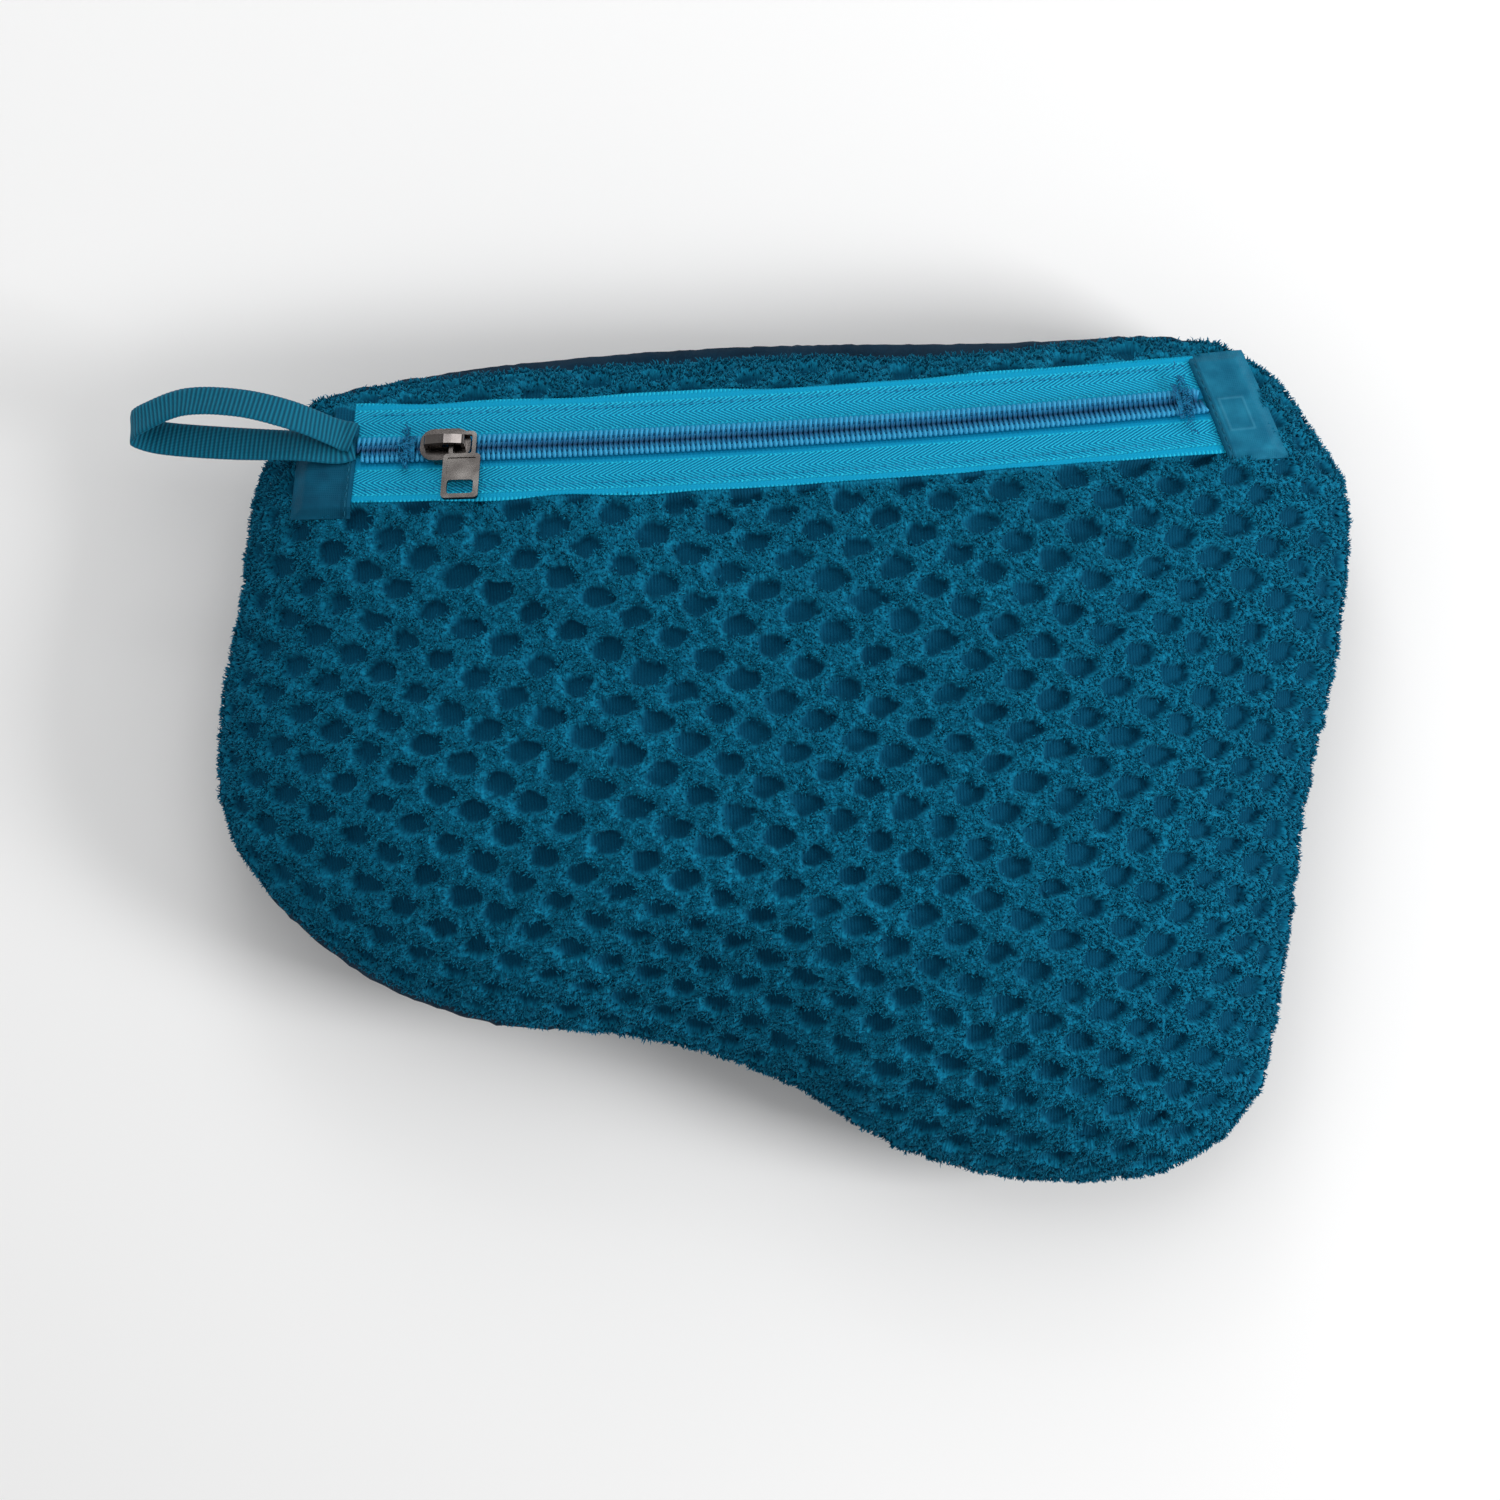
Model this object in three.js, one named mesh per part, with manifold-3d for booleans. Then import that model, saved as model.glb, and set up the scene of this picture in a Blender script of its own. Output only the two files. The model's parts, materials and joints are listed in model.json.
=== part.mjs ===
// Camp blanket, packed into its own zip pocket: a stuffed fleece and woven pouch with a coil zip,
// an auto-lock slider and a webbing grab loop. It lies on its back. Millimetres, +X along the zip
// away from the grab loop, +Y towards the zip edge, +Z up out of the fleece face.
import * as THREE from 'three';
import { mergeVertices } from 'three/addons/utils/BufferGeometryUtils.js';
import Module from 'manifold-3d';

const wasm = await Module();
wasm.setup();

// ---------------------------------------------------------------- driving dimensions, mm
const POUCH_LENGTH = 343;          // along the zip
const POUCH_WIDTH = 255;           // across the zip
const EQUATOR_HEIGHT = 28;         // height of the widest girth above the table
const DOME_RISE = 54;              // top of the stuffed face above the girth
const DOME_FULLNESS = 2.4;         // exponent of the dome: 2 is an ellipse, more is fuller
const BACK_FLAT_SHARE = 0.7;       // part of the radius that lies flat on the table
const FLEECE_THICKNESS = 4;
const WOVEN_THICKNESS = 1.2;
const PANEL_GAP = 0.4;             // between the fleece and woven panels along their seam
const PIECE_GAP = 0.35;            // between pieces that lie on each other
const ROLL_UP_TOP = 0.21;          // how far the woven back rolls up over the zip edge, share of a quarter
const ROLL_UP_CORNER = 0.15;       // the same at the lower corner under the loop end
const SEAM_BELOW_GIRTH = 0.02;     // the least roll-up everywhere else
const BINDING_WIDTH = 9;
const BINDING_THICKNESS = 0.8;
const SEAT_PAST_CHAIN = 12;         // how far the tapes' seat in the panel runs past the chain
const CUT_REACH = 14;               // how far the cuts for the zip reach above and below the panel
const FACET_SAG = 0.00573;         // how far a facet cuts inside the curved skin, per mm of diagonal
const THREAD = 0.6;

const ZIP_INSET = 28.2;            // chain line below the top of the outline
const ZIP_MARGIN_LOOP_END = 30.5;  // chain start from the outline, at the loop end
const ZIP_MARGIN_FAR_END = 28.5;   // chain end from the outline, at the far end
const ZIP_SAG = 3;                 // the chain's middle sags this far away from the zip edge
const TAPE_WIDTH = 15.2;           // one tape
const TAPE_THICKNESS = 0.6;
const TAPE_INNER_EDGE = 1.5;       // from the chain's centre line
const TAPE_END_SLANT = 2.6;        // the far end is cut at a slant
const SLOT_HALF_WIDTH = 6.4;       // mouth of the pocket, under the tapes
const STITCH_INSET = 4;            // sewing line from the tape's outer edge
const COIL_PITCH = 1.5;
const COIL_REACH = 0.5;            // a turn's head past the centre line
const COIL_HEIGHT = 1.9;
const COIL_BACK = 2.6;             // the turn's back, from the centre line
const COIL_VALLEY = 0.95;
const COIL_TURNS_PER_STEP = 8;
const COIL_SPREAD = 1.75;          // each side, around the slider's wedge
const COIL_OPEN_GAP = 0.55;        // each side, in the unmeshed stretch before the slider

const SLIDER_LENGTH = 15;
const SLIDER_WIDTH = 10.6;
const SLIDER_CORNER = 4.2;
const SLIDER_PLATE = 1;
const SLIDER_FLANGE = 0.6;
const SLIDER_FLANGE_DEPTH = 1.7;
const SLIDER_FROM_START = 27;      // slider centre from the chain's start when closed
const WEDGE_LENGTH = 4.6;
const WEDGE_HALF_WIDTH = 1;
const WEDGE_CENTRE = -3.6;         // from the slider's centre, towards the open side
const CROWN_HALF_SPAN = 5.5;       // from the slider's centre to each foot's centre
const CROWN_WIDTH = 3;
const CROWN_METAL = 1.1;
const PULL_THICKNESS = 1.2;
const PULL_PLATE_WIDTH = 11;
const PULL_PLATE_LENGTH = 14.9;
const PULL_EYE_WIDTH = 8;
const PULL_EYE_WIRE = 1.2;
const PULL_EYE_BEHIND = 2.2;       // clear space behind the crown's foot
const PULL_EYE_AHEAD = 4.2;        // clear space ahead of it
const PULL_WINDOW_WIDTH = 7.8;
const PULL_WINDOW_HEIGHT = 4.6;
const PULL_WINDOW_EDGE = 1.4;
const PULL_RIM = 1.3;
const RECESS_CORNER = 0.5;
const PULL_RECESS = 0.35;
const SPRING_METAL = 0.35;
const SPRING_WIDTH = 1;

const BARTACK_LENGTH = 2.6;
const BARTACK_WIDTH = 12.5;
const BARTACK_LOOP_END_WIDTH = 8;
const BARTACK_THICKNESS = 0.8;
const BARTACK_FROM_SLIDER = 1.2;   // clear of the closed slider
const BARTACK_FROM_END = 8.5;      // from the chain's far end
const TAB_LENGTH = 16.5;
const TAB_OVERLAP = 2.2;           // of the tab over the tape's end
const TAB_THICKNESS = 1.1;
const TAB_OVERHANG = 2.6;          // tab wider than the zip, each side
const TAB_STITCH_INSET = 2.4;

const WEBBING_WIDTH = 10;
const WEBBING_THICKNESS = 1.3;
const LOOP_LENGTH = 60;            // from its root at the tab to its tip
const LOOP_BEND = 6.5;             // height between the loop's two limbs at the fold
const LOOP_SPREAD = 12.5;          // sideways distance between the limbs at mid length
const LOOP_ROOT_LENGTH = 6;        // sewn stretch, flat on the tab
const LOOP_DROOP = 9;              // how far the tip hangs below the root

const BLANKET_DOME_STEPS = 8;      // rows of facets on the blanket's domed side
const BLANKET_BACK_STEPS = 4;      // and on its lower side
const BLANKET_UNCUT_SHARE = 0.8;   // how far each fold reaches, as a share of the half length there
const BLANKET_CLEARANCE = 1.4;     // between the packed blanket and the panels
const BLANKET_SLIDER_ROOM = 4.2;   // under the zip, for the slider's lower plate
const BLANKET_PLIES = 6;
const BLANKET_FOLD_GAP = 0.9;

const GIRTH_STEPS = 60;
const DOME_STEPS = 12;
const ZIP_STEPS = 32;

// ---------------------------------------------------------------- vectors and solids
const X_AXIS = new THREE.Vector3(1, 0, 0);
const smooth = (from, to, value) => THREE.MathUtils.smoothstep(value, from, to);
const lerp = THREE.MathUtils.lerp;

/** Indexed geometry whose faces point out, whatever order its grid was walked in. */
function outward(points, faces) {
  let volume = 0;
  const [a, b, c] = [new THREE.Vector3(), new THREE.Vector3(), new THREE.Vector3()];
  for (let i = 0; i < faces.length; i += 3) {
    a.copy(points[faces[i]]);
    b.copy(points[faces[i + 1]]);
    c.copy(points[faces[i + 2]]);
    volume += a.dot(b.cross(c));
  }
  if (volume < 0) {
    for (let i = 0; i < faces.length; i += 3) {
      [faces[i], faces[i + 1]] = [faces[i + 1], faces[i]];
    }
  }
  const geometry = new THREE.BufferGeometry();
  geometry.setAttribute('position', new THREE.Float32BufferAttribute(points.flatMap((p) => p.toArray()), 3));
  geometry.setIndex(faces);
  return geometry;
}

/** A slab: point(u, v, top) gives its upper (top = 1) and lower (top = 0) sheets over a grid. */
function slab(uSteps, vSteps, point) {
  const points = [];
  const faces = [];
  const at = (i, j, top) => (i * (vSteps + 1) + j) * 2 + top;
  for (let i = 0; i <= uSteps; i++) {
    for (let j = 0; j <= vSteps; j++) {
      points.push(point(i / uSteps, j / vSteps, 0), point(i / uSteps, j / vSteps, 1));
    }
  }
  const quad = (a, b, c, d) => faces.push(a, b, c, a, c, d);
  for (let i = 0; i < uSteps; i++) {
    for (let j = 0; j < vSteps; j++) {
      quad(at(i, j, 1), at(i + 1, j, 1), at(i + 1, j + 1, 1), at(i, j + 1, 1));
      quad(at(i, j, 0), at(i, j + 1, 0), at(i + 1, j + 1, 0), at(i + 1, j, 0));
    }
    quad(at(i, 0, 0), at(i + 1, 0, 0), at(i + 1, 0, 1), at(i, 0, 1));
    quad(at(i, vSteps, 0), at(i, vSteps, 1), at(i + 1, vSteps, 1), at(i + 1, vSteps, 0));
  }
  for (let j = 0; j < vSteps; j++) {
    quad(at(0, j, 0), at(0, j, 1), at(0, j + 1, 1), at(0, j + 1, 0));
    quad(at(uSteps, j, 0), at(uSteps, j + 1, 0), at(uSteps, j + 1, 1), at(uSteps, j, 1));
  }
  return outward(points, faces);
}

/** A closed ring whose section is the closed polygon section(k). */
function ring(steps, section) {
  const sections = Array.from({ length: steps }, (_, k) => section(k / steps));
  const sides = sections[0].length;
  const faces = [];
  for (let k = 0; k < steps; k++) {
    for (let j = 0; j < sides; j++) {
      const next = (k + 1) % steps;
      const a = k * sides + j;
      const b = next * sides + j;
      const c = next * sides + ((j + 1) % sides);
      const d = k * sides + ((j + 1) % sides);
      faces.push(a, b, c, a, c, d);
    }
  }
  return outward(sections.flat(), faces);
}

/** A closed solid round the pouch's axis: profile(angle) runs from one pole to the other. */
function revolved(steps, profile) {
  const columns = Array.from({ length: steps }, (_, k) => profile((k / steps) * 2 * Math.PI));
  const rows = columns[0].length - 2;
  const points = [columns[0][0], columns[0][rows + 1]];
  columns.forEach((column) => points.push(...column.slice(1, -1)));
  const at = (k, j) => 2 + (k % steps) * rows + j;
  const faces = [];
  for (let k = 0; k < steps; k++) {
    faces.push(0, at(k, 0), at(k + 1, 0), 1, at(k + 1, rows - 1), at(k, rows - 1));
    for (let j = 0; j < rows - 1; j++) {
      faces.push(at(k, j), at(k, j + 1), at(k + 1, j + 1), at(k, j), at(k + 1, j + 1), at(k + 1, j));
    }
  }
  return outward(points, faces);
}

/** A box between two corners. */
function box(low, high) {
  const size = high.map((value, i) => value - low[i]);
  const geometry = new THREE.BoxGeometry(...size);
  return geometry.translate(low[0] + size[0] / 2, low[1] + size[1] / 2, low[2] + size[2] / 2);
}

function rectangle(left, bottom, right, top, corner, path = new THREE.Shape()) {
  path.moveTo(left + corner, bottom);
  path.lineTo(right - corner, bottom);
  path.absarc(right - corner, bottom + corner, corner, -Math.PI / 2, 0);
  path.lineTo(right, top - corner);
  path.absarc(right - corner, top - corner, corner, 0, Math.PI / 2);
  path.lineTo(left + corner, top);
  path.absarc(left + corner, top - corner, corner, Math.PI / 2, Math.PI);
  path.lineTo(left, bottom + corner);
  path.absarc(left + corner, bottom + corner, corner, Math.PI, Math.PI * 1.5);
  return path;
}

function extruded(shape, from, to, curveSegments = 4) {
  const geometry = new THREE.ExtrudeGeometry(shape, { depth: to - from, bevelEnabled: false, curveSegments });
  return geometry.translate(0, 0, from);
}

function toManifold(geometry) {
  const plain = geometry.clone();
  plain.deleteAttribute('normal');
  plain.deleteAttribute('uv');
  const merged = mergeVertices(plain, 1e-5);
  const vertProperties = new Float32Array(merged.attributes.position.array);
  const triVerts = new Uint32Array(merged.index.array);
  return new wasm.Manifold(new wasm.Mesh({ numProp: 3, vertProperties, triVerts }));
}

function fromManifold(solid) {
  const mesh = solid.getMesh();
  const geometry = new THREE.BufferGeometry();
  geometry.setAttribute('position', new THREE.BufferAttribute(new Float32Array(mesh.vertProperties), 3));
  geometry.setIndex(new THREE.BufferAttribute(new Uint32Array(mesh.triVerts), 1));
  return geometry;
}

const cut = (body, ...tools) =>
  fromManifold(tools.reduce((solid, tool) => solid.subtract(toManifold(tool)), toManifold(body)));
const join = (first, ...others) =>
  fromManifold(others.reduce((solid, other) => solid.add(toManifold(other)), toManifold(first)));

// ---------------------------------------------------------------- the pouch's outline
// Half lengths and half widths from the middle of the outline, clockwise from the loop end of the
// zip edge. The far corner droops, where most of the blanket has settled.
const OUTLINE = [
  [-0.785, 0.935], [-0.466, 0.994], [0.024, 1.0], [0.444, 0.973], [0.654, 0.975], [0.78, 0.945],
  [0.862, 0.886], [0.927, 0.76], [0.987, 0.652], [1.0, 0.51], [0.964, 0.207], [0.885, -0.186],
  [0.839, -0.536], [0.767, -0.86], [0.639, -0.983], [0.428, -1.0], [0.186, -0.919], [-0.051, -0.717],
  [-0.291, -0.601], [-0.57, -0.553], [-0.792, -0.406], [-0.949, -0.182], [-1.0, -0.037],
  [-0.983, 0.268], [-0.939, 0.476], [-0.901, 0.756], [-0.849, 0.869],
];
const OUTLINE_SAMPLES = 720;
const crown = { x: -0.01 * POUCH_LENGTH / 2, y: 0.167 * POUCH_WIDTH / 2 };
const outlineCurve = new THREE.CatmullRomCurve3(
  OUTLINE.map(([x, y]) => new THREE.Vector3((x * POUCH_LENGTH) / 2, (y * POUCH_WIDTH) / 2, 0)),
  true,
  'centripetal',
);
const outlineSamples = outlineCurve.getPoints(OUTLINE_SAMPLES).slice(0, OUTLINE_SAMPLES).map((p) => ({
  angle: Math.atan2(p.y - crown.y, p.x - crown.x),
  radius: Math.hypot(p.x - crown.x, p.y - crown.y),
})).sort((a, b) => a.angle - b.angle);

/** Distance from the dome's crown to the outline in one direction. */
function outlineRadius(angle) {
  const wrapped = Math.atan2(Math.sin(angle), Math.cos(angle));
  let high = outlineSamples.findIndex((sample) => sample.angle > wrapped);
  if (high < 0) high = 0;
  const before = outlineSamples[(high + OUTLINE_SAMPLES - 1) % OUTLINE_SAMPLES];
  const after = outlineSamples[high];
  const full = 2 * Math.PI;
  const span = (after.angle - before.angle + full) % full || full;
  const along = ((wrapped - before.angle + full) % full) / span;
  return lerp(before.radius, after.radius, along);
}

// ---------------------------------------------------------------- the dome and its zip band
/** Height of the plain dome over a point of the plan. */
function domeHeight(x, y) {
  const angle = Math.atan2(y - crown.y, x - crown.x);
  const share = Math.min(1, Math.hypot(x - crown.x, y - crown.y) / outlineRadius(angle));
  return EQUATOR_HEIGHT + DOME_RISE * Math.sqrt(1 - share ** DOME_FULLNESS);
}

/** Where the outline crosses a line of constant y, on the side that sign names. */
function outlineCrossing(y, sign) {
  const hits = outlineSamples.map(({ angle, radius }) => ({
    x: crown.x + radius * Math.cos(angle),
    off: Math.abs(crown.y + radius * Math.sin(angle) - y),
  })).filter(({ x }) => Math.sign(x - crown.x) === sign);
  return hits.reduce((best, hit) => (hit.off < best.off ? hit : best)).x;
}

const chordY = POUCH_WIDTH / 2 - ZIP_INSET + ZIP_SAG / 2;
const chordStart = outlineCrossing(chordY, -1) + ZIP_MARGIN_LOOP_END;
const chordEnd = outlineCrossing(chordY, 1) - ZIP_MARGIN_FAR_END;
const chordMiddle = (chordStart + chordEnd) / 2;
const middleHeight = domeHeight(chordMiddle, chordY - ZIP_SAG);
const endHeight = (domeHeight(chordStart, chordY) + domeHeight(chordEnd, chordY)) / 2;
const sag = new THREE.Vector3(0, -ZIP_SAG, middleHeight - endHeight);
const zipRadius = (chordEnd - chordStart) ** 2 / (8 * sag.length()) + sag.length() / 2;
const sagAxis = sag.clone().normalize();
const bendAxis = sagAxis.clone().cross(X_AXIS);
const zipMiddle = new THREE.Vector3(chordMiddle, chordY - ZIP_SAG, middleHeight);
const bendCentre = zipMiddle.clone().addScaledVector(sagAxis, -zipRadius);
const SLOPE_STEP = 6;
const tilt = Math.atan2(
  domeHeight(chordMiddle, zipMiddle.y - SLOPE_STEP) - domeHeight(chordMiddle, zipMiddle.y + SLOPE_STEP),
  2 * SLOPE_STEP,
);
const across = new THREE.Vector3(0, Math.cos(tilt), -Math.sin(tilt));
const outOfBand = new THREE.Vector3(0, Math.sin(tilt), Math.cos(tilt));
const halfChain = zipRadius * Math.asin((chordEnd - chordStart) / 2 / zipRadius);
const chainStart = -halfChain;
const chainEnd = halfChain;
const sliderAt = chainStart + SLIDER_FROM_START;

/** A point of the zip band: s along the chain from its middle, t across it, h out of the tape. */
function bandPoint(s, t, h) {
  const offset = zipMiddle.clone().sub(bendCentre).addScaledVector(across, t).addScaledVector(outOfBand, h);
  return offset.applyAxisAngle(bendAxis, s / zipRadius).add(bendCentre);
}

/** The same point's s, t and h, from its place. */
function bandCoordinates(point) {
  const from = point.clone().sub(bendCentre);
  const turn = Math.atan2(from.dot(X_AXIS), from.dot(sagAxis));
  const rest = from.applyAxisAngle(bendAxis, -turn).add(bendCentre).sub(zipMiddle);
  return { s: turn * zipRadius, t: rest.dot(across), h: rest.dot(outOfBand) };
}

const tapeEdge = TAPE_INNER_EDGE + TAPE_WIDTH;
const tabHalfWidth = tapeEdge + TAB_OVERHANG;
const BAND_BLEND = 9;
const END_BLEND = 24;

/** Height of the fleece face over the plan: the dome, brought level with the band along the zip. */
function faceHeight(x, y) {
  const plain = domeHeight(x, y);
  const point = new THREE.Vector3(x, y, plain);
  let where = bandCoordinates(point);
  for (let i = 0; i < 4; i++) {
    point.z -= where.h / Math.cos(tilt);
    where = bandCoordinates(point);
  }
  const beyond = Math.max(0, Math.abs(where.s) - halfChain - 2 * (TAB_OVERLAP + TAPE_END_SLANT));
  const sideways = 1 - smooth(tabHalfWidth, tabHalfWidth + BAND_BLEND, Math.abs(where.t));
  return lerp(plain, point.z, sideways * (1 - smooth(0, END_BLEND, beyond)));
}

/** A point on or off the fleece face, over a point of the plan. */
function facePoint(x, y, lift) {
  const step = 0.5;
  const dx = (faceHeight(x + step, y) - faceHeight(x - step, y)) / (2 * step);
  const dy = (faceHeight(x, y + step) - faceHeight(x, y - step)) / (2 * step);
  const normal = new THREE.Vector3(-dx, -dy, 1).normalize();
  return new THREE.Vector3(x, y, faceHeight(x, y)).addScaledVector(normal, lift);
}

const QUARTER = Math.PI / 2;
/** Share of the outline's radius at the share q of the way from the crown down to the girth. */
const girthShare = (q) => Math.sin(q * QUARTER) ** (2 / DOME_FULLNESS);

/** A point of the face at an angle round the crown, inset measured square to the surface. */
function domePoint(angle, q, inset) {
  const radius = outlineRadius(angle);
  const share = girthShare(q);
  const x = crown.x + radius * share * Math.cos(angle);
  const y = crown.y + radius * share * Math.sin(angle);
  const z = q < 1 ? faceHeight(x, y) : EQUATOR_HEIGHT;
  const inwards = Math.sin(q * QUARTER);
  return new THREE.Vector3(
    x - inset * inwards * Math.cos(angle),
    y - inset * inwards * Math.sin(angle),
    z - inset * Math.cos(q * QUARTER),
  );
}

/** A point of the back: q is 0 at the girth, 1 at the rim of the flat, and 2 at the middle. */
function backPoint(angle, q, inset) {
  const radius = outlineRadius(angle);
  const turn = Math.min(q, 1) * QUARTER;
  const share = q <= 1 ? BACK_FLAT_SHARE + (1 - BACK_FLAT_SHARE) * Math.cos(turn) : BACK_FLAT_SHARE * (2 - q);
  const distance = radius * share - (q < 1 ? inset * Math.cos(turn) : 0);
  const z = EQUATOR_HEIGHT * (1 - Math.sin(turn)) + inset * Math.sin(turn);
  return new THREE.Vector3(crown.x + distance * Math.cos(angle), crown.y + distance * Math.sin(angle), z);
}

/** How far down towards the girth the seam between fleece and back runs, at an angle. */
function seamAt(angle) {
  const top = Math.max(0, Math.sin(angle)) ** 0.7;
  const corner = Math.max(0, Math.cos(angle - Math.PI * 1.2)) ** 8;
  return 1 - SEAM_BELOW_GIRTH - ROLL_UP_TOP * smooth(0.55, 0.95, top) - ROLL_UP_CORNER * corner;
}

/** About the length from the crown to the girth, to turn millimetres into shares of the way down. */
const quarterLength = (POUCH_LENGTH + POUCH_WIDTH) / 8;
const seamShare = PANEL_GAP / 2 / quarterLength;

// ---------------------------------------------------------------- materials
function material(color, roughness, metalness = 0) {
  return new THREE.MeshStandardMaterial({ color, roughness, metalness });
}
const fleece = material(0x0f7f9c, 0.95);
const woven = material(0x16323f, 0.7);
const tape = material(0x1aa3c9, 0.7);
const coil = material(0x1488b4, 0.4);
const thread = material(0x0e5f7a, 0.7);
const tabCloth = material(0x1f6f86, 0.6);
const webbing = material(0x0f6d80, 0.75);
const gunmetal = material(0x4c4845, 0.3, 1);
const springSteel = material(0x9a9a98, 0.35, 1);
const innerFleece = material(0x116f88, 0.95);

const group = new THREE.Group();
function add(name, geometry, finish, parent = group) {
  const mesh = new THREE.Mesh(geometry, finish.clone());
  mesh.name = name;
  parent.add(mesh);
  return mesh;
}

// ---------------------------------------------------------------- panels
/** A stretch of the band's space, cleared for the pieces that lie or run in it. */
function bandSpace(s0, s1, t0, t1, h0, h1) {
  return slab(ZIP_STEPS, 1, (u, v, top) => bandPoint(lerp(s0, s1, u), lerp(t0, t1, v), top ? h1 : h0));
}

/** Even shares from 0 to 1. */
function steps(count) {
  return Array.from({ length: count }, (_, j) => j / (count - 1));
}

function frontPanel() {
  const shell = revolved(GIRTH_STEPS, (angle) => {
    const edge = seamAt(angle) - seamShare;
    const rows = Array.from({ length: DOME_STEPS + 1 }, (_, j) => (edge * j) / DOME_STEPS);
    const outer = rows.map((q) => domePoint(angle, q, 0));
    const inner = rows.map((q) => domePoint(angle, q, FLEECE_THICKNESS));
    return [...outer, ...inner.reverse()];
  });
  const reach = tapeEdge + PIECE_GAP;
  const start = chainStart - SEAT_PAST_CHAIN;
  const end = chainEnd + SEAT_PAST_CHAIN;
  const tapeSeat = bandSpace(start, end, -reach, reach, -PIECE_GAP, CUT_REACH);
  const mouth = bandSpace(chainStart, chainEnd, -SLOT_HALF_WIDTH, SLOT_HALF_WIDTH, -CUT_REACH, CUT_REACH);
  return cut(shell, tapeSeat, mouth);
}

function backPanel() {
  const rollSteps = 3;
  const curveSteps = 4;
  return revolved(GIRTH_STEPS, (angle) => {
    const edge = seamAt(angle) + seamShare;
    const sheet = (inset) => [
      backPoint(angle, 2, inset),
      backPoint(angle, 1.5, inset),
      ...Array.from({ length: curveSteps }, (_, j) => backPoint(angle, 1 - j / curveSteps, inset)),
      ...Array.from(
        { length: rollSteps + 1 },
        (_, j) => domePoint(angle, lerp(1, edge, j / rollSteps), inset),
      ),
    ];
    return [...sheet(0), ...sheet(WOVEN_THICKNESS).reverse()];
  });
}

/** A narrow strip that follows the seam round the inside, between two depths. */
function seamRing(width, depth, thickness) {
  const half = width / 2 / quarterLength;
  return ring(GIRTH_STEPS, (k) => {
    const angle = k * 2 * Math.PI;
    const middle = seamAt(angle) - half;
    return [
      domePoint(angle, middle - half, depth),
      domePoint(angle, middle + half, depth),
      domePoint(angle, middle + half, depth + thickness),
      domePoint(angle, middle - half, depth + thickness),
    ];
  });
}

// ---------------------------------------------------------------- zip
function zipTape(side) {
  const start = chainStart - TAB_OVERLAP;
  return slab(ZIP_STEPS, 1, (u, v, top) => {
    const t = side * lerp(TAPE_INNER_EDGE, tapeEdge, v);
    const end = chainEnd + TAB_OVERLAP - (TAPE_END_SLANT * t) / tapeEdge;
    return bandPoint(lerp(start, end, u), t, top ? TAPE_THICKNESS : 0);
  });
}

/** How far a coil stands off the centre line: meshed after the slider, parted before it. */
function coilOffset(s) {
  const wedge = sliderAt + WEDGE_CENTRE;
  const parting = 1 - smooth(wedge + WEDGE_LENGTH / 2, sliderAt + SLIDER_LENGTH / 2 - 2, s);
  const beforeSlider = 1 - smooth(sliderAt - SLIDER_LENGTH, sliderAt - SLIDER_LENGTH / 2, s);
  return parting * lerp(COIL_SPREAD, COIL_OPEN_GAP, beforeSlider);
}

/** One coil as a comb: a back strip, and a head at each turn that reaches past the centre line. */
function zipCoil(side) {
  const phase = side > 0 ? 0 : COIL_PITCH / 2;
  const turns = Math.floor((chainEnd - chainStart - COIL_PITCH) / COIL_PITCH);
  const low = TAPE_THICKNESS + PIECE_GAP;
  const points = [];
  const faces = [];
  const put = (s, t) => {
    const shifted = side * (t + coilOffset(s));
    points.push(bandPoint(s, shifted, low), bandPoint(s, shifted, low + COIL_HEIGHT));
    return points.length - 2;
  };
  const start = chainStart + phase;
  const valleys = [put(start, COIL_VALLEY)];
  const heads = [];
  for (let i = 0; i < turns; i++) {
    heads.push(put(start + (i + 0.5) * COIL_PITCH, -COIL_REACH));
    valleys.push(put(start + (i + 1) * COIL_PITCH, COIL_VALLEY));
  }
  const wall = (a, b) => faces.push(a, b, b + 1, a, b + 1, a + 1);
  const caps = (a, b, c) => faces.push(a, c, b, a + 1, b + 1, c + 1);
  let back = put(start, COIL_BACK);
  wall(back, valleys[0]);
  for (let first = 0; first < turns; first += COIL_TURNS_PER_STEP) {
    const last = Math.min(first + COIL_TURNS_PER_STEP, turns);
    for (let i = first; i < last; i++) {
      wall(valleys[i], heads[i]);
      wall(heads[i], valleys[i + 1]);
      caps(valleys[i], heads[i], valleys[i + 1]);
      caps(back, valleys[i], valleys[i + 1]);
    }
    const next = put(start + last * COIL_PITCH, COIL_BACK);
    caps(back, valleys[last], next);
    wall(next, back);
    back = next;
  }
  wall(valleys[turns], back);
  return outward(points, faces);
}

/** A straight run of sewing thread along the outer part of a tape. */
function tapeStitch(side) {
  const middle = side * (tapeEdge - STITCH_INSET);
  const low = TAPE_THICKNESS + PIECE_GAP;
  const margin = TAB_LENGTH / 4;
  return slab(ZIP_STEPS, 1, (u, v, top) =>
    bandPoint(
      lerp(chainStart + margin, chainEnd - margin, u),
      middle + (v - 0.5) * THREAD,
      low + (top ? THREAD / 2 : 0),
    ));
}

/** A bar tack: a block of close thread across the chain, bridging both tapes. */
function barTack(centre, width) {
  const low = TAPE_THICKNESS + COIL_HEIGHT + 2 * PIECE_GAP;
  return slab(2, 2, (u, v, top) => {
    const crownUp = 0.5 - Math.abs(v - 0.5);
    return bandPoint(
      centre + (u - 0.5) * BARTACK_LENGTH,
      (v - 0.5) * width,
      low + (top ? BARTACK_THICKNESS * (1 + crownUp) : 0),
    );
  });
}

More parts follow.
